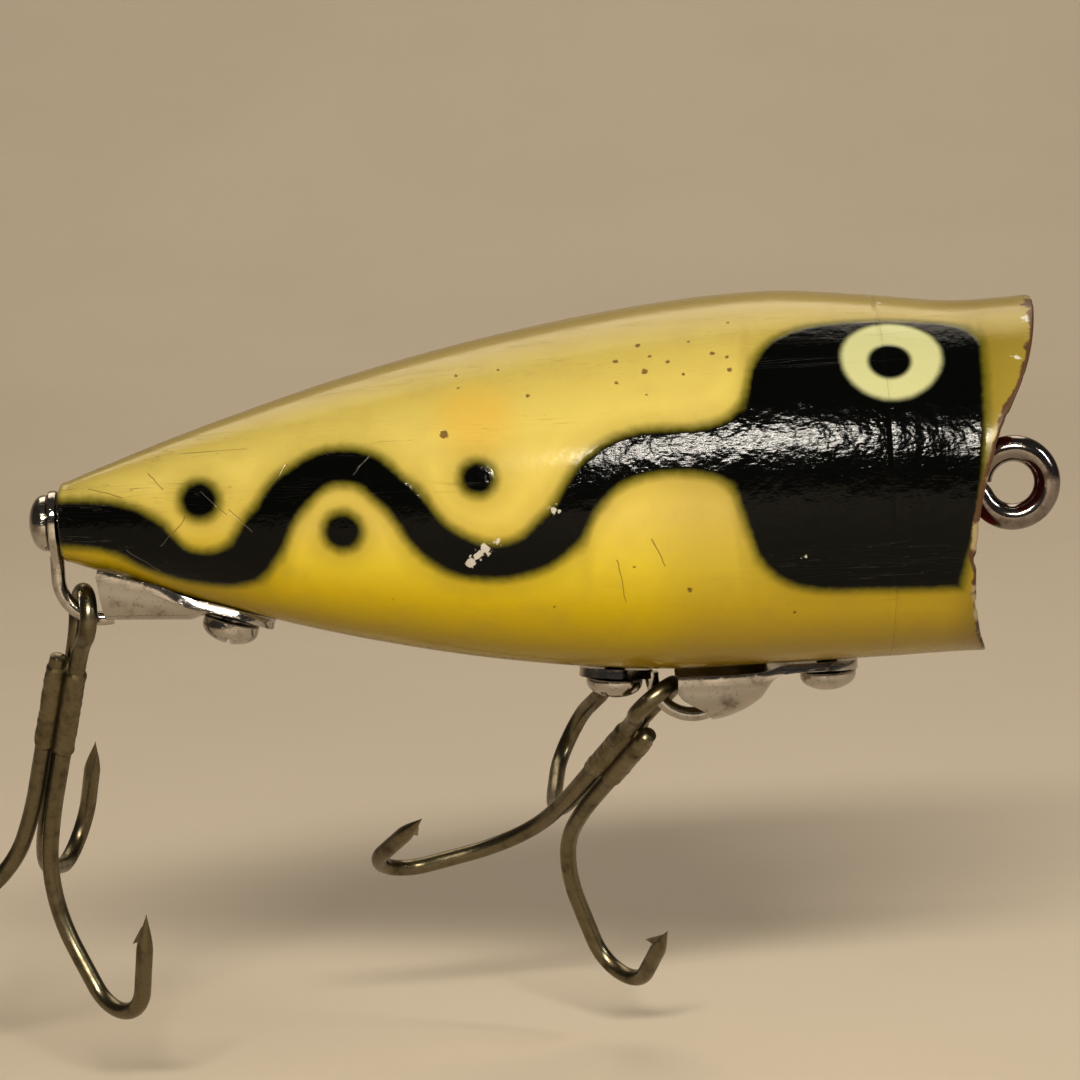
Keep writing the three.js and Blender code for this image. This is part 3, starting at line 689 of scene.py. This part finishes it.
def painted_skin(name, has_mouth=False):
    skin = Skin(name)
    colour, black, pale = sprayed_pattern(skin, yellow_ground(skin))
    colour, chip = chipped(skin, colour, black, pale)
    colour, scratch = scratched(skin, colour, black)
    colour = skin.mix(skin.between(skin.from_seam, 0.0, 0.10, 0.05, 0.0), colour, SEAM_DIRT)
    roughness = skin.between(skin.cloud, 0.3, 0.75, *GLOSS)
    if has_mouth:
        colour, roughness = mouth_and_rim(skin, colour, roughness)
    dull = skin.between(black, 0.0, 1.0, DULLER["yellow"], DULLER["black"])
    dull = skin.add(skin.times(chip, DULLER["chipped"]), dull)
    skin.feed(skin.surface.inputs["Base Color"], colour)
    skin.feed(skin.surface.inputs["Roughness"], skin.add(roughness, dull))
    skin.feed(skin.surface.inputs["Normal"], skin_relief(skin, black, scratch, chip))
    skin.surface.inputs["IOR"].default_value = PAINT_IOR
    return skin.material


# ---- Metals ----

def metal(name, bright, dark, roughness, wear, grain_scale, relief):
    """A metal with tarnish in patches, fine scratches, and pits as deep as relief."""
    shader = Shader(name)
    place = shader.millimetres()
    patches = shader.noise(0.7, 5.0, place, 0.62)
    tarnish = shader.between(patches, 0.5 - wear, 0.85 - wear)
    grain = shader.noise(grain_scale, 3.0, place, 0.6)
    pit = shader.between(grain, 0.60, 0.72)
    scratch = scratches(shader, place, 4.0, 0.5)
    colour = shader.mix(tarnish, (*bright, 1), (*dark, 1))
    in_pits = tuple(0.4 * channel for channel in dark)
    colour = shader.mix(shader.times(pit, 0.5), colour, (*in_pits, 1))
    rough = shader.math("MULTIPLY_ADD", scratch, 0.12, shader.between(patches, 0.3, 0.8, *roughness))
    normal = shader.bump(grain, 0.5, relief * MM)
    dents = shader.add(shader.times(scratch, -1.0), shader.times(pit, -0.6))
    shader.feed(shader.surface.inputs["Base Color"], colour)
    shader.surface.inputs["Metallic"].default_value = 1.0
    shader.feed(shader.surface.inputs["Roughness"], rough)
    shader.feed(shader.surface.inputs["Normal"], shader.bump(dents, 0.4, 0.5 * relief * MM, normal))
    return shader.material


# ---- Body pieces ----

SKIN_SIDES = 224
AXIS = 0.01  # the radius at which a solid of revolution is closed


def rear_shell(material):
    front = SEAM_STATION - SEAM_GAP / 2
    tail_radius = float(body_radius(TAIL_CORNER))
    front_radius = float(body_radius(front))
    profile = [(0, AXIS)]
    for t in np.radians(np.linspace(0, 90, 6)):
        cut = TAIL_CORNER * (1 - math.sin(t))
        profile.append((TAIL_CORNER * (1 - math.cos(t)), tail_radius - cut))
    for station in np.linspace(0.8, front - SEAM_EDGE, 130):
        profile.append((station, float(body_radius(station))))
    for t in np.radians(np.linspace(20, 90, 4)):
        cut = SEAM_EDGE * (1 - math.cos(t))
        profile.append((front - SEAM_EDGE * (1 - math.sin(t)), front_radius - cut))
    profile += [(front, SOCKET[1]), SOCKET, (SOCKET[0], AXIS)]
    points, faces = revolve(profile, SKIN_SIDES)
    mesh = new_mesh("rear_shell_skin", to_row(bowed(points)), faces)
    return show("rear_shell_skin", mesh, material, "rear_shell", "body")


def rim_station(height):
    return smooth_curve(MOUTH_RIM, height)


def meet_rim(radius_at, up):
    """The station at which a surface of revolution meets the mouth's rim, for each share of height."""
    stations = np.full(len(up), 60.0)
    for _ in range(30):
        height = body_bow(stations) + radius_at(stations) * up
        stations = 0.5 * stations + 0.5 * rim_station(height)
    return stations


def cup_profile(steps):
    """Evenly spaced (station, radius) points down the mouth's cup, from its middle to past the rim."""
    stations, radii = np.array(MOUTH_CUP, float).T
    run = np.concatenate([[0], np.cumsum(np.hypot(np.diff(stations), np.diff(radii)))])
    at = np.linspace(0, run[-1], steps)
    return smooth_curve(list(zip(run, stations)), at), smooth_curve(list(zip(run, radii)), at)


def head_plug(material):
    """Spigot, seam face, skin, rim and cup, in rings from the back round to the cup's middle."""
    sides = 320
    cup_steps = 400
    angles = np.linspace(0, 2 * math.pi, sides, endpoint=False)
    up, across = np.cos(angles), np.sin(angles)

    def ring(stations, radii):
        stations = np.broadcast_to(stations, sides)
        return np.stack([stations, radii * across, radii * up], axis=1)

    back = SEAM_STATION + SEAM_GAP / 2
    back_radius = float(body_radius(back))
    spigot_end, spigot_radius = SPIGOT
    chamfer = 0.4
    rings = [
        ring(spigot_end, AXIS), ring(spigot_end, spigot_radius - chamfer),
        ring(spigot_end + chamfer, spigot_radius), ring(back, spigot_radius),
    ]
    for t in np.radians(np.linspace(0, 70, 4)):
        cut = SEAM_EDGE * (1 - math.sin(t))
        rings.append(ring(back + SEAM_EDGE * (1 - math.cos(t)), back_radius - cut))

    skin_end = meet_rim(body_radius, up) - RIM_ROUNDING
    for share in np.linspace(0.01, 1, 46):
        stations = (back + SEAM_EDGE) * (1 - share) + skin_end * share
        rings.append(ring(stations, body_radius(stations)))
    first_rim = len(rings) - 1

    cup_stations, cup_radii = cup_profile(cup_steps)
    inner = meet_rim(lambda stations: np.interp(stations, cup_stations, cup_radii), up)
    inner_radius = np.interp(inner, cup_stations, cup_radii)
    outer_radius = body_radius(skin_end)
    wide = [noise.noise(Vector((7 * u, 7 * a, 3.1))) for u, a in zip(up, across)]
    close = [noise.noise(Vector((19 * u, 19 * a, 1.4))) for u, a in zip(up, across)]
    worn = np.array(wide) + 0.6 * np.array(close)
    for t in np.linspace(0.12, math.pi - 0.12, 9):
        radii = (outer_radius + inner_radius) / 2 + (outer_radius - inner_radius) / 2 * math.cos(t)
        fall = RIM_ROUNDING * (1 - math.sin(t) ** 0.6)
        rings.append(ring(rim_station(radii * up) - fall - 0.3 * np.maximum(worn - 0.15, 0), radii))
    last_rim = len(rings) - 1

    cup_index = np.arange(cup_steps)
    ends = np.interp(inner - RIM_ROUNDING, cup_stations, cup_index)
    for share in np.linspace(1, 0.002, 60):
        stations = np.interp(ends * share, cup_index, cup_stations)
        rings.append(ring(stations, np.interp(ends * share, cup_index, cup_radii)))

    points, faces = loft(rings)
    rim_marks, mouth_marks = np.zeros(len(points)), np.zeros(len(points))
    rim_marks[(first_rim + 2) * sides:(last_rim + 2) * sides] = 1
    for row, mark in enumerate((0.15, 0.3, 0.45, 0.6, 0.8), first_rim - 3):
        rim_marks[row * sides:(row + 1) * sides] = mark
    mouth_marks[(last_rim + 1) * sides:] = 1
    marks = (("rim", rim_marks), ("mouth", mouth_marks))
    mesh = new_mesh("head_plug_skin", to_row(bowed(points)), faces, 45, marks)
    return show("head_plug_skin", mesh, material, "head_plug", "body")


def line_tie(material):
    """A wire whose shank bends out to a closed ring; its cut end meets the shank."""
    ring_start, ring_turn = 205, 328  # degrees
    shank_start, shank_end = 50, TIE_STATION - TIE_RING_RADIUS - 1.5
    centre = np.array([TIE_STATION, 0, TIE_HEIGHT])
    angles = np.radians(np.linspace(ring_start, ring_start + ring_turn, 110))
    ring = centre + TIE_RING_RADIUS * np.stack([np.cos(angles), 0 * angles, np.sin(angles)], axis=1)
    shank = np.array([[s, 0, TIE_HEIGHT] for s in np.linspace(shank_start, shank_end, 12)])
    ahead = np.array([0.9, 0, 0])
    leave = np.array([-math.sin(angles[0]), 0, math.cos(angles[0])])
    bend = bezier(shank[-1], shank[-1] + ahead, ring[0] - 0.6 * leave, ring[0], 10)
    path = np.concatenate([shank, bend[1:], ring])
    points, faces = sweep(path, TIE_WIRE_RADIUS, 28)
    mesh = new_mesh("line_tie_wire", to_row(points), faces)
    return show("line_tie_wire", mesh, material, "line_tie_eye", "body")


# ---- Hangers ----

def formed_sheet(front, back, half_width, depth, lift, follow):
    """A stamped sheet against the body's underside: a plate at one end, a cup's mouth at the other.

    front and back give the stations of the sheet's ends; front takes a share that is 0 at the sheet's
    edges and 1 along its middle, and back also takes the cup's share of its full depth.
    depth is the cup's drop below the flanges, and lift the flanges' stand-off; follow is 1 where
    the sheet bends round the body and 0 where it is flat across.
    """
    rows, columns = 90, 61
    swing = np.radians(np.linspace(-90, 90, columns))
    mouth_width = half_width(back(np.ones(1), np.zeros(1)))
    sunk = np.sqrt(1 - np.clip(np.abs(np.sin(swing)) / (1 - CUP_FLANGE / mouth_width), 0, 1) ** 3)
    points = []
    for u in np.linspace(0, 1, rows):
        stations = (1 - u) * front(np.cos(swing)) + u * back(np.cos(swing), sunk)
        width = half_width(stations)
        y = width * np.sin(swing)
        radius = body_radius(stations) + lift(stations)
        skin = np.sqrt(np.maximum(radius ** 2 - (follow(stations) * y) ** 2, 0))
        inside = np.clip(np.abs(y) / (width - CUP_FLANGE), 0, 1)
        drop = depth(stations) * np.sqrt(1 - inside ** 3)
        points.append(np.stack([stations, y, body_bow(stations) - skin - drop], axis=1))
    faces = strip_faces(rows, columns, around=False)
    sheet = workpiece("sheet", np.concatenate(points), faces)
    modify(sheet, "SOLIDIFY", thickness=SHEET, offset=-1)
    soften(sheet, 0.16, 3, 50)
    return settled(sheet)


def grooved(angles):
    """The neck's section: a strip rolled round, with a shallow groove along each flank."""
    return 1 - 0.16 * np.exp(-(np.sin(angles) / 0.32) ** 2)


def belly_hanger(material):
    cup_back, cup_length, cup_depth = 41, 5.6, 3.1
    cup_to_plate = (44.5, 47.0)

    def bulge(stations):
        run = np.clip((stations - cup_back) / cup_length, 0, 1)
        drop = np.maximum(cup_depth * (1 - run ** 2) ** 0.8 - 0.4, 0)
        return drop * step_up(stations, 46.6, 45.0)

    def half_width(stations):
        return PLATE_HALF_WIDTH + 0.85 * step_up(stations, 46.2, 42.0)

    def lift(stations):
        flange = BELLY_FLANGE + 0.02 * (stations - 39.3) + belly_height(stations)
        plate = SEAT_GAP + SHEET
        return flange + (plate - flange) * step_up(stations, *cup_to_plate)

    front_piece = formed_sheet(
        lambda middle: 49 + PLATE_HALF_WIDTH * middle,
        lambda middle, sunk: 39.55 + 2.15 * step_up(sunk, 0.2, 0.9),
        half_width, bulge, lift, lambda stations: step_up(stations, *cup_to_plate),
    )
    rear_plate = formed_sheet(
        lambda middle: 36 + 2.0 * middle ** 3,
        lambda middle, sunk: 35.7 - PLATE_HALF_WIDTH * middle,
        lambda stations: PLATE_HALF_WIDTH,
        lambda stations: 0,
        lambda stations: SEAT_GAP + SHEET,
        lambda stations: 1,
    )
    radius, start, end = BELLY_NECK
    neck = sweep(arc_below(BELLY_PIVOT, radius, start, end, 60), NECK_RADIUS, 32, grooved)
    points, faces = merged(front_piece, rear_plate, neck)
    mesh = new_mesh("belly_hanger_strap", to_row(points), faces)
    return show("belly_hanger_strap", mesh, material, "belly_hanger", "body")


def end_plate():
    """The strap's flat end on the tail's end face, narrowing downwards to the neck."""
    half = 1.9
    round_top = np.radians(np.linspace(-90, 90, 25))
    outline = [(half * math.sin(a), 0.2 + half * math.cos(a)) for a in round_top]
    side = [(half, -0.9), (NECK_RADIUS, -2.6), (NECK_RADIUS, -3)]
    outline += side + [(-y, z) for y, z in reversed(side)]
    points = np.array([(-SEAT_GAP - SHEET, y, z) for y, z in outline])
    plate = workpiece("plate", points, [tuple(range(len(outline)))])
    inwards = -1 if plate.data.polygons[0].normal.x < 0 else 1
    modify(plate, "SOLIDIFY", thickness=SHEET, offset=inwards)
    soften(plate, 0.14, 3, 30)
    return settled(plate)


def tail_hanger(material):
    def lift(stations):
        return SEAT_GAP + SHEET * step_up(stations, 5.5, 8.6)

    def bulge(stations):
        bottom = 6.5 + 0.05 * (stations - 2.6)
        drop = np.maximum(bottom - body_radius(stations) - lift(stations), 0)
        return drop * step_up(stations, 9.6, 8.0)

    cup = formed_sheet(
        lambda middle: 10.9 + PLATE_HALF_WIDTH * middle,
        lambda middle, sunk: 2.25 + 0.35 * sunk,
        lambda stations: PLATE_HALF_WIDTH + 0.35 * step_up(stations, 7.5, 3.0),
        bulge, lift, lambda stations: step_up(stations, 3.0, 10.0),
    )
    radius, start, end = TAIL_NECK
    arc = arc_below(TAIL_PIVOT, radius, start, end, 50)
    rise = np.array([(-SEAT_GAP - SHEET / 2, 0, z) for z in np.linspace(-3.2, -2.2, 6)])
    neck = sweep(np.concatenate([arc, rise]), NECK_RADIUS, 32, grooved)
    points, faces = merged(cup, end_plate(), neck)
    mesh = new_mesh("tail_hanger_strap", to_row(points), faces)
    return show("tail_hanger_strap", mesh, material, "tail_hanger", "body")


# ---- Screws ----

def screw_seat(station, stand_off=0.0):
    """Where a screw's head rests under the body, and the way the screw points."""
    tilt = belly_tilt(station)
    away = HEAD_SEAT + stand_off
    height = float(belly_height(station)) - away * math.cos(tilt)
    seat = Vector((station - away * math.sin(tilt), 0, height))
    return seat, Vector((math.sin(tilt), 0, math.cos(tilt)))


SCREWS = {
    "belly_screw_front": (*screw_seat(49.5), 15, 0.05),
    "belly_screw_rear": (*screw_seat(35.6), 62, 0.05),
    "tail_screw_belly": (*screw_seat(10.95, 0.25), 100, 0.3),
    "tail_screw_end": (Vector((-HEAD_SEAT, 0, 0)), Vector((1, 0, 0)), 8, 0.05),
}  # seat, direction, the slot's turn, and how far the head's underside fills the gap to the strap


def thread():
    """A self-tapping thread: its crest winds along the shank."""
    sides, per_turn = 40, 14
    rows = int(SCREW_LENGTH / SCREW_PITCH * per_turn)
    angles = np.linspace(0, 2 * math.pi, sides, endpoint=False)
    rings = []
    for z in np.linspace(0.0, SCREW_LENGTH, rows):
        wave = (z / SCREW_PITCH - angles / (2 * math.pi)) % 1
        crest = np.clip(1 - np.abs(wave - 0.5) * 3, 0, 1) * step_up(z, 0.6, 1.4)
        point = max(1 - step_up(z, SCREW_LENGTH - 1.4, SCREW_LENGTH), 0.04)
        radii = (SCREW_ROOT + (SCREW_CREST - SCREW_ROOT) * crest) * point
        ring = [np.full(sides, z), radii * np.cos(angles), radii * np.sin(angles)]
        rings.append(np.stack(ring, axis=1))
    return loft(rings)


def screw_head(slot_turn, under):
    """A domed head with a slot, made along X; its underside stands that far towards the strap."""
    rim = 0.22
    edge = 0.08
    profile = [(under, AXIS), (under, HEAD_RADIUS - edge), (under - edge, HEAD_RADIUS)]
    for a in np.radians(np.linspace(0, 88, 20)):
        profile.append((-rim - (HEAD_HEIGHT - rim) * math.sin(a), HEAD_RADIUS * math.cos(a)))
    head = workpiece("head", *revolve(profile, 64))
    size = Vector((2 * SLOT_DEPTH, SLOT_WIDTH, 4 * HEAD_RADIUS)) / 2
    ways = (-1, 1)
    corners = [(x * size.x, y * size.y, z * size.z) for x in ways for y in ways for z in ways]
    sides = [(0, 1, 3, 2), (4, 6, 7, 5), (0, 4, 5, 1), (2, 3, 7, 6), (0, 2, 6, 4), (1, 5, 7, 3)]
    slot = workpiece("slot", corners, sides)
    turn = Matrix.Rotation(math.radians(slot_turn), 4, "X")
    slot.data.transform(Matrix.Translation((-HEAD_HEIGHT, 0, 0)) @ turn)
    modify(head, "BOOLEAN", object=slot, operation="DIFFERENCE", solver="EXACT")
    soften(head, 0.05, 2, 40)
    shaped = settled(head)
    bpy.data.objects.remove(slot)
    return shaped


def screw(name, material):
    seat, inward, slot_turn, under = SCREWS[name]
    points, faces = merged(screw_head(slot_turn, under), thread())
    turn = np.array(Vector((1, 0, 0)).rotation_difference(inward).to_matrix())
    mesh = new_mesh(name + "_piece", to_row(points @ turn.T + np.array(seat)), faces, 30)
    return show(name + "_piece", mesh, material, name, "body")


# ---- Treble hooks ----

def hook_line(start):
    """One hook in its own plane, from its shank to its tip: x outwards, y down from the eye."""
    points = [np.array([WIRE_OFFSET, y]) for y in np.linspace(start, SHANK_LENGTH, 16)]
    heading = 0.0

    def advance(length):
        points.append(points[-1] + length * np.array([math.sin(heading), math.cos(heading)]))

    for stage in (*SPREAD_ARCS, SPREAD_STRAIGHT, BEND_ARC, POINT_STRAIGHT, POINT_TAPER):
        if isinstance(stage, tuple):
            radius, degrees = stage
            steps = max(6, round(degrees / 4))
            half = math.radians(degrees) / steps / 2
            for _ in range(steps):
                heading += half
                advance(2 * radius * math.sin(half))
                heading += half
        else:
            steps = 10
            for _ in range(steps):
                advance(stage / steps)
    return np.array(points), heading


def in_space(flat, degrees):
    """Points of a hook's plane, turned out from the treble's axis and hung below the eye."""
    flat = np.atleast_2d(flat)
    turn = math.radians(degrees)
    return np.stack([flat[:, 0] * math.cos(turn), flat[:, 0] * math.sin(turn), -flat[:, 1]], axis=1)


def tapered(count, at_start, at_end):
    """The wire's radius at each point: full, but drawn down to a needle at the ends asked for."""
    needle = np.array([1, 0.95, 0.88, 0.79, 0.69, 0.58, 0.46, 0.34, 0.22, 0.1, 0.02])
    radii = np.full(count, HOOK_WIRE)
    if at_end:
        radii[-11:] = HOOK_WIRE * needle
    if at_start:
        radii[:11] = HOOK_WIRE * needle[::-1]
    return radii


def barb(flat, heading, degrees):
    """A blade cut up from the wire behind the point, leaning back from it."""
    towards_tip = np.array([math.sin(heading), math.cos(heading)])
    inwards = np.array([math.cos(heading), -math.sin(heading)])
    tip = flat[-1]
    outline = np.array([
        (-0.7, 0.02, 0.10), (-1.2, 0.3, 0.2), (-1.9, 0.62, 0.2), (-2.5, 0.93, 0.14),
        (-2.92, 1.15, 0.03), (-2.6, 0.82, 0.14), (-2.35, 0.45, 0.24), (-2.3, 0.0, 0.3),
        (-1.4, 0.0, 0.3),
    ])  # (along, up, half thickness)
    turn = math.radians(degrees)
    across = np.array([-math.sin(turn), math.cos(turn), 0])
    along, up, half_thickness = outline[:, :1], outline[:, 1:2], outline[:, 2:]
    middle = in_space(tip + along * towards_tip + up * inwards, degrees)
    half = half_thickness * across
    return loft([middle - half, middle + half])


def eye_line():
    """The ring of the double hook, from one shank round to the other, in the plane across both."""
    dip = math.radians(35)  # how far past level the ring runs on each side
    foot = np.array([EYE_RADIUS * math.cos(dip), -EYE_RADIUS * math.sin(dip)])
    foot_pull = foot - 0.8 * np.array([math.sin(dip), math.cos(dip)])
    shank = WIRE_OFFSET * math.sin(math.pi / 3)
    start, start_pull = np.array([(shank, -BRAZE_SPAN[0]), (shank, -2.5)])
    rise = bezier(start, start_pull, foot_pull, foot, 15)
    angles = np.linspace(-dip, math.pi + dip, 60)
    ring = EYE_RADIUS * np.stack([np.cos(angles), np.sin(angles)], axis=1)
    fall = (rise * (-1, 1))[::-1]
    flat = np.concatenate([rise, ring, fall])
    plane = WIRE_OFFSET * math.cos(math.pi / 3)
    return np.stack([np.full(len(flat), plane), flat[:, 0], flat[:, 1]], axis=1)


def double_hook():
    flat, heading = hook_line(BRAZE_SPAN[0])
    first, second = in_space(flat, 60), in_space(flat, -60)
    path = np.concatenate([first[1:][::-1], eye_line(), second[1:]])
    body = sweep(path, tapered(len(path), True, True), 24)
    return merged(body, barb(flat, heading, 60), barb(flat, heading, -60))


def single_hook():
    flat, heading = hook_line(CUT_END)
    radii = tapered(len(flat), False, True)
    chamfer = [flat[0] + (0, depth) for depth in (-0.02, 0.12)]
    flat = np.concatenate([chamfer, flat[1:]])
    radii = np.concatenate([[0.55 * HOOK_WIRE, 0.95 * HOOK_WIRE], radii[1:]])
    body = sweep(in_space(flat, 180), radii, 24)
    return merged(body, barb(flat, heading, 180))


def braze():
    """Metal run in between the shanks: three uneven lobes with fillets, melting out at the ends."""
    sides, rows = 96, 90
    sharpness = 7  # of the fillets between the lobes
    angles = np.linspace(0, 2 * math.pi, sides, endpoint=False)
    rings = []
    for share in np.linspace(0, 1, rows):
        down = BRAZE_SPAN[0] + share * (BRAZE_SPAN[1] - BRAZE_SPAN[0])
        ends = min(share, 1 - share)
        full = step_up(ends, 0.0, 0.09)
        size = BRAZE_RADIUS - 0.24 * (1 - full)
        reach = np.full(sides, 0.28 + 0.34 * full)
        for middle in np.radians((60, 180, 300)):
            off = WIRE_OFFSET * np.sin(angles - middle)
            room = np.maximum(size ** 2 - off ** 2, 0)
            lobe = WIRE_OFFSET * np.cos(angles - middle) + np.sqrt(room)
            lobe = np.where(off ** 2 < size ** 2, lobe, 0)
            reach = np.log(np.exp(reach * sharpness) + np.exp(lobe * sharpness)) / sharpness
        rough = np.array([
            noise.noise(Vector((1.3 * math.cos(a), 1.3 * math.sin(a), down * 1.1)))
            + 0.5 * noise.noise(Vector((3 * math.cos(a), 3 * math.sin(a), down * 3.2)))
            for a in angles
        ])
        reach = reach + 0.07 * rough * full
        ring = [reach * np.cos(angles), reach * np.sin(angles), np.full(sides, -down)]
        rings.append(np.stack(ring, axis=1))
    return loft(rings)


def treble(prefix, tinned, solder):
    place = TREBLES[prefix]
    nose = place["single_faces"] == "nose"
    angle = math.radians(place["angle"])
    eye = Vector((
        place["pivot"][0] - place["reach"] * math.sin(angle),
        0,
        place["pivot"][1] - place["reach"] * math.cos(angle),
    ))
    shift = WIRE_OFFSET * math.cos(math.pi / 3) * (1 if nose else -1)
    half_turn = Matrix.Rotation(math.pi if nose else 0, 4, "Z")
    facing = Matrix.Translation((shift, 0, 0)) @ half_turn
    turn = Matrix.Identity(4)
    for degrees, axis in ((place["lean"], "Y"), (place["tilt"], "X"), (place["twist"], "Z")):
        turn = turn @ Matrix.Rotation(math.radians(degrees), 4, axis)
    matrix = np.array(Matrix.Translation(eye) @ turn @ facing)
    parts = {
        "double_hook": (double_hook(), tinned, "tinned_wire"),
        "single_hook": (single_hook(), tinned, "tinned_wire"),
        "braze": (braze(), solder, "braze_metal"),
    }
    for part, ((points, faces), material, slot) in parts.items():
        node = f"{prefix}_{part}"
        placed = points @ matrix[:3, :3].T + matrix[:3, 3]
        mesh = new_mesh(node + "_piece", to_row(placed), faces)
        show(node + "_piece", mesh, material, node, prefix)


# ---- Stage ----

FLOOR_DROP = 0.004  # metres: the trebles swing lower than they hang at rest


def stage_material(name, colour, roughness):
    shader = Shader(name)
    tone = shader.between(shader.noise(18.0, 3.0), 0.3, 0.7, 0.97, 1.0)
    shader.feed(shader.surface.inputs["Base Color"], shader.mix(1.0, (*colour, 1), tone, "MULTIPLY"))
    shader.surface.inputs["Roughness"].default_value = roughness
    return shader.material


def backdrop(floor_height):
    """A floor that sweeps up behind the object."""
    half, front, behind, radius, top = 2.5, -2.0, 0.35, 0.5, 2.0
    profile = [(front, 0.0)]
    for a in np.radians(np.linspace(0, 90, 24)):
        profile.append((behind + radius * math.sin(a), radius * (1 - math.cos(a))))
    profile.append((behind + radius, top))
    points = [(x, y, floor_height + z) for y, z in profile for x in (-half, half)]
    faces = [(2 * i, 2 * i + 1, 2 * i + 3, 2 * i + 2) for i in range(len(profile) - 1)]
    floor = bpy.data.objects.new("floor", new_mesh("floor", points, faces, 60))
    floor.data.materials.append(stage_material("pale_floor", (0.60, 0.52, 0.41), 0.7))
    put(floor)


def softbox(name, place, aim, size, power, colour=(1, 1, 1)):
    light = bpy.data.lights.new(name, "AREA")
    light.shape = "RECTANGLE"
    light.size, light.size_y = size
    light.energy = power
    light.color = colour
    lamp = bpy.data.objects.new(name, light)
    lamp.location = place
    lamp.rotation_euler = (Vector(aim) - Vector(place)).to_track_quat("-Z", "Y").to_euler()
    put(lamp)


def camera():
    """Looks across the lure from a little above, rolled so that the nose stands a little high."""
    aim = Vector(to_row((31.1, 0, -2.8)))
    elevation = math.radians(7.5)
    roll = math.radians(3.0)
    distance = 0.25
    forward = Vector((0, math.cos(elevation), -math.sin(elevation)))
    level_up = Vector((0, math.sin(elevation), math.cos(elevation)))
    right = Vector((1, 0, 0)) * math.cos(roll) - level_up * math.sin(roll)
    up = Vector((1, 0, 0)) * math.sin(roll) + level_up * math.cos(roll)
    lens = bpy.data.cameras.new("camera")
    lens.sensor_width = 36
    lens.lens = 127.57
    lens.clip_start, lens.clip_end = 0.01, 20
    made = bpy.data.objects.new("camera", lens)
    axes = Matrix((right, up, -forward)).transposed().to_4x4()
    made.matrix_world = Matrix.Translation(aim - distance * forward) @ axes
    put(made)
    bpy.context.scene.camera = made


def light_the_stage():
    world = bpy.data.worlds.new("room")
    world.use_nodes = True
    world.node_tree.nodes["Background"].inputs["Color"].default_value = (0.80, 0.76, 0.72, 1)
    world.node_tree.nodes["Background"].inputs["Strength"].default_value = 0.10
    bpy.context.scene.world = world
    bpy.context.scene.view_settings.view_transform = "Standard"
    bpy.context.scene.view_settings.gamma = 0.82
    middle = (-0.031, 0, 0)
    softbox("window", (-0.02, -0.62, 0.36), middle, (0.36, 0.07), 6.1, (1, 0.95, 0.86))
    softbox("overhead", (-0.05, 0.45, 0.62), middle, (0.7, 0.5), 2.5, (1, 0.92, 0.80))
    softbox("side", (0.62, -0.30, 0.35), middle, (0.12, 0.3), 1.8, (0.90, 0.95, 1))


# ---- Build ----

camera()
light_the_stage()

METALS = {
    "nickel": ((0.30, 0.265, 0.24), (0.10, 0.065, 0.05), (0.08, 0.24), 0.08, 5.0, 0.012),
    "chrome": ((0.50, 0.47, 0.43), (0.17, 0.13, 0.09), (0.07, 0.22), 0.02, 5.0, 0.012),
    "tinned_wire": ((0.21, 0.18, 0.115), (0.09, 0.07, 0.04), (0.26, 0.42), 0.05, 7.0, 0.012),
    "solder": ((0.23, 0.195, 0.12), (0.10, 0.078, 0.042), (0.30, 0.48), 0.08, 2.4, 0.04),
}  # bright, tarnished, roughness, wear, grain, relief
nickel, chrome, tinned_wire, solder = [metal(name, *looks) for name, looks in METALS.items()]

rear_shell(painted_skin("painted_shell"))
head_plug(painted_skin("painted_head", has_mouth=True))
line_tie(nickel)
belly_hanger(chrome)
tail_hanger(chrome)
for screw_name in SCREWS:
    screw(screw_name, chrome)
for treble_name in TREBLES:
    treble(treble_name, tinned_wire, solder)

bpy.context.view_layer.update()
backdrop(cad_box[0].z - FLOOR_DROP)
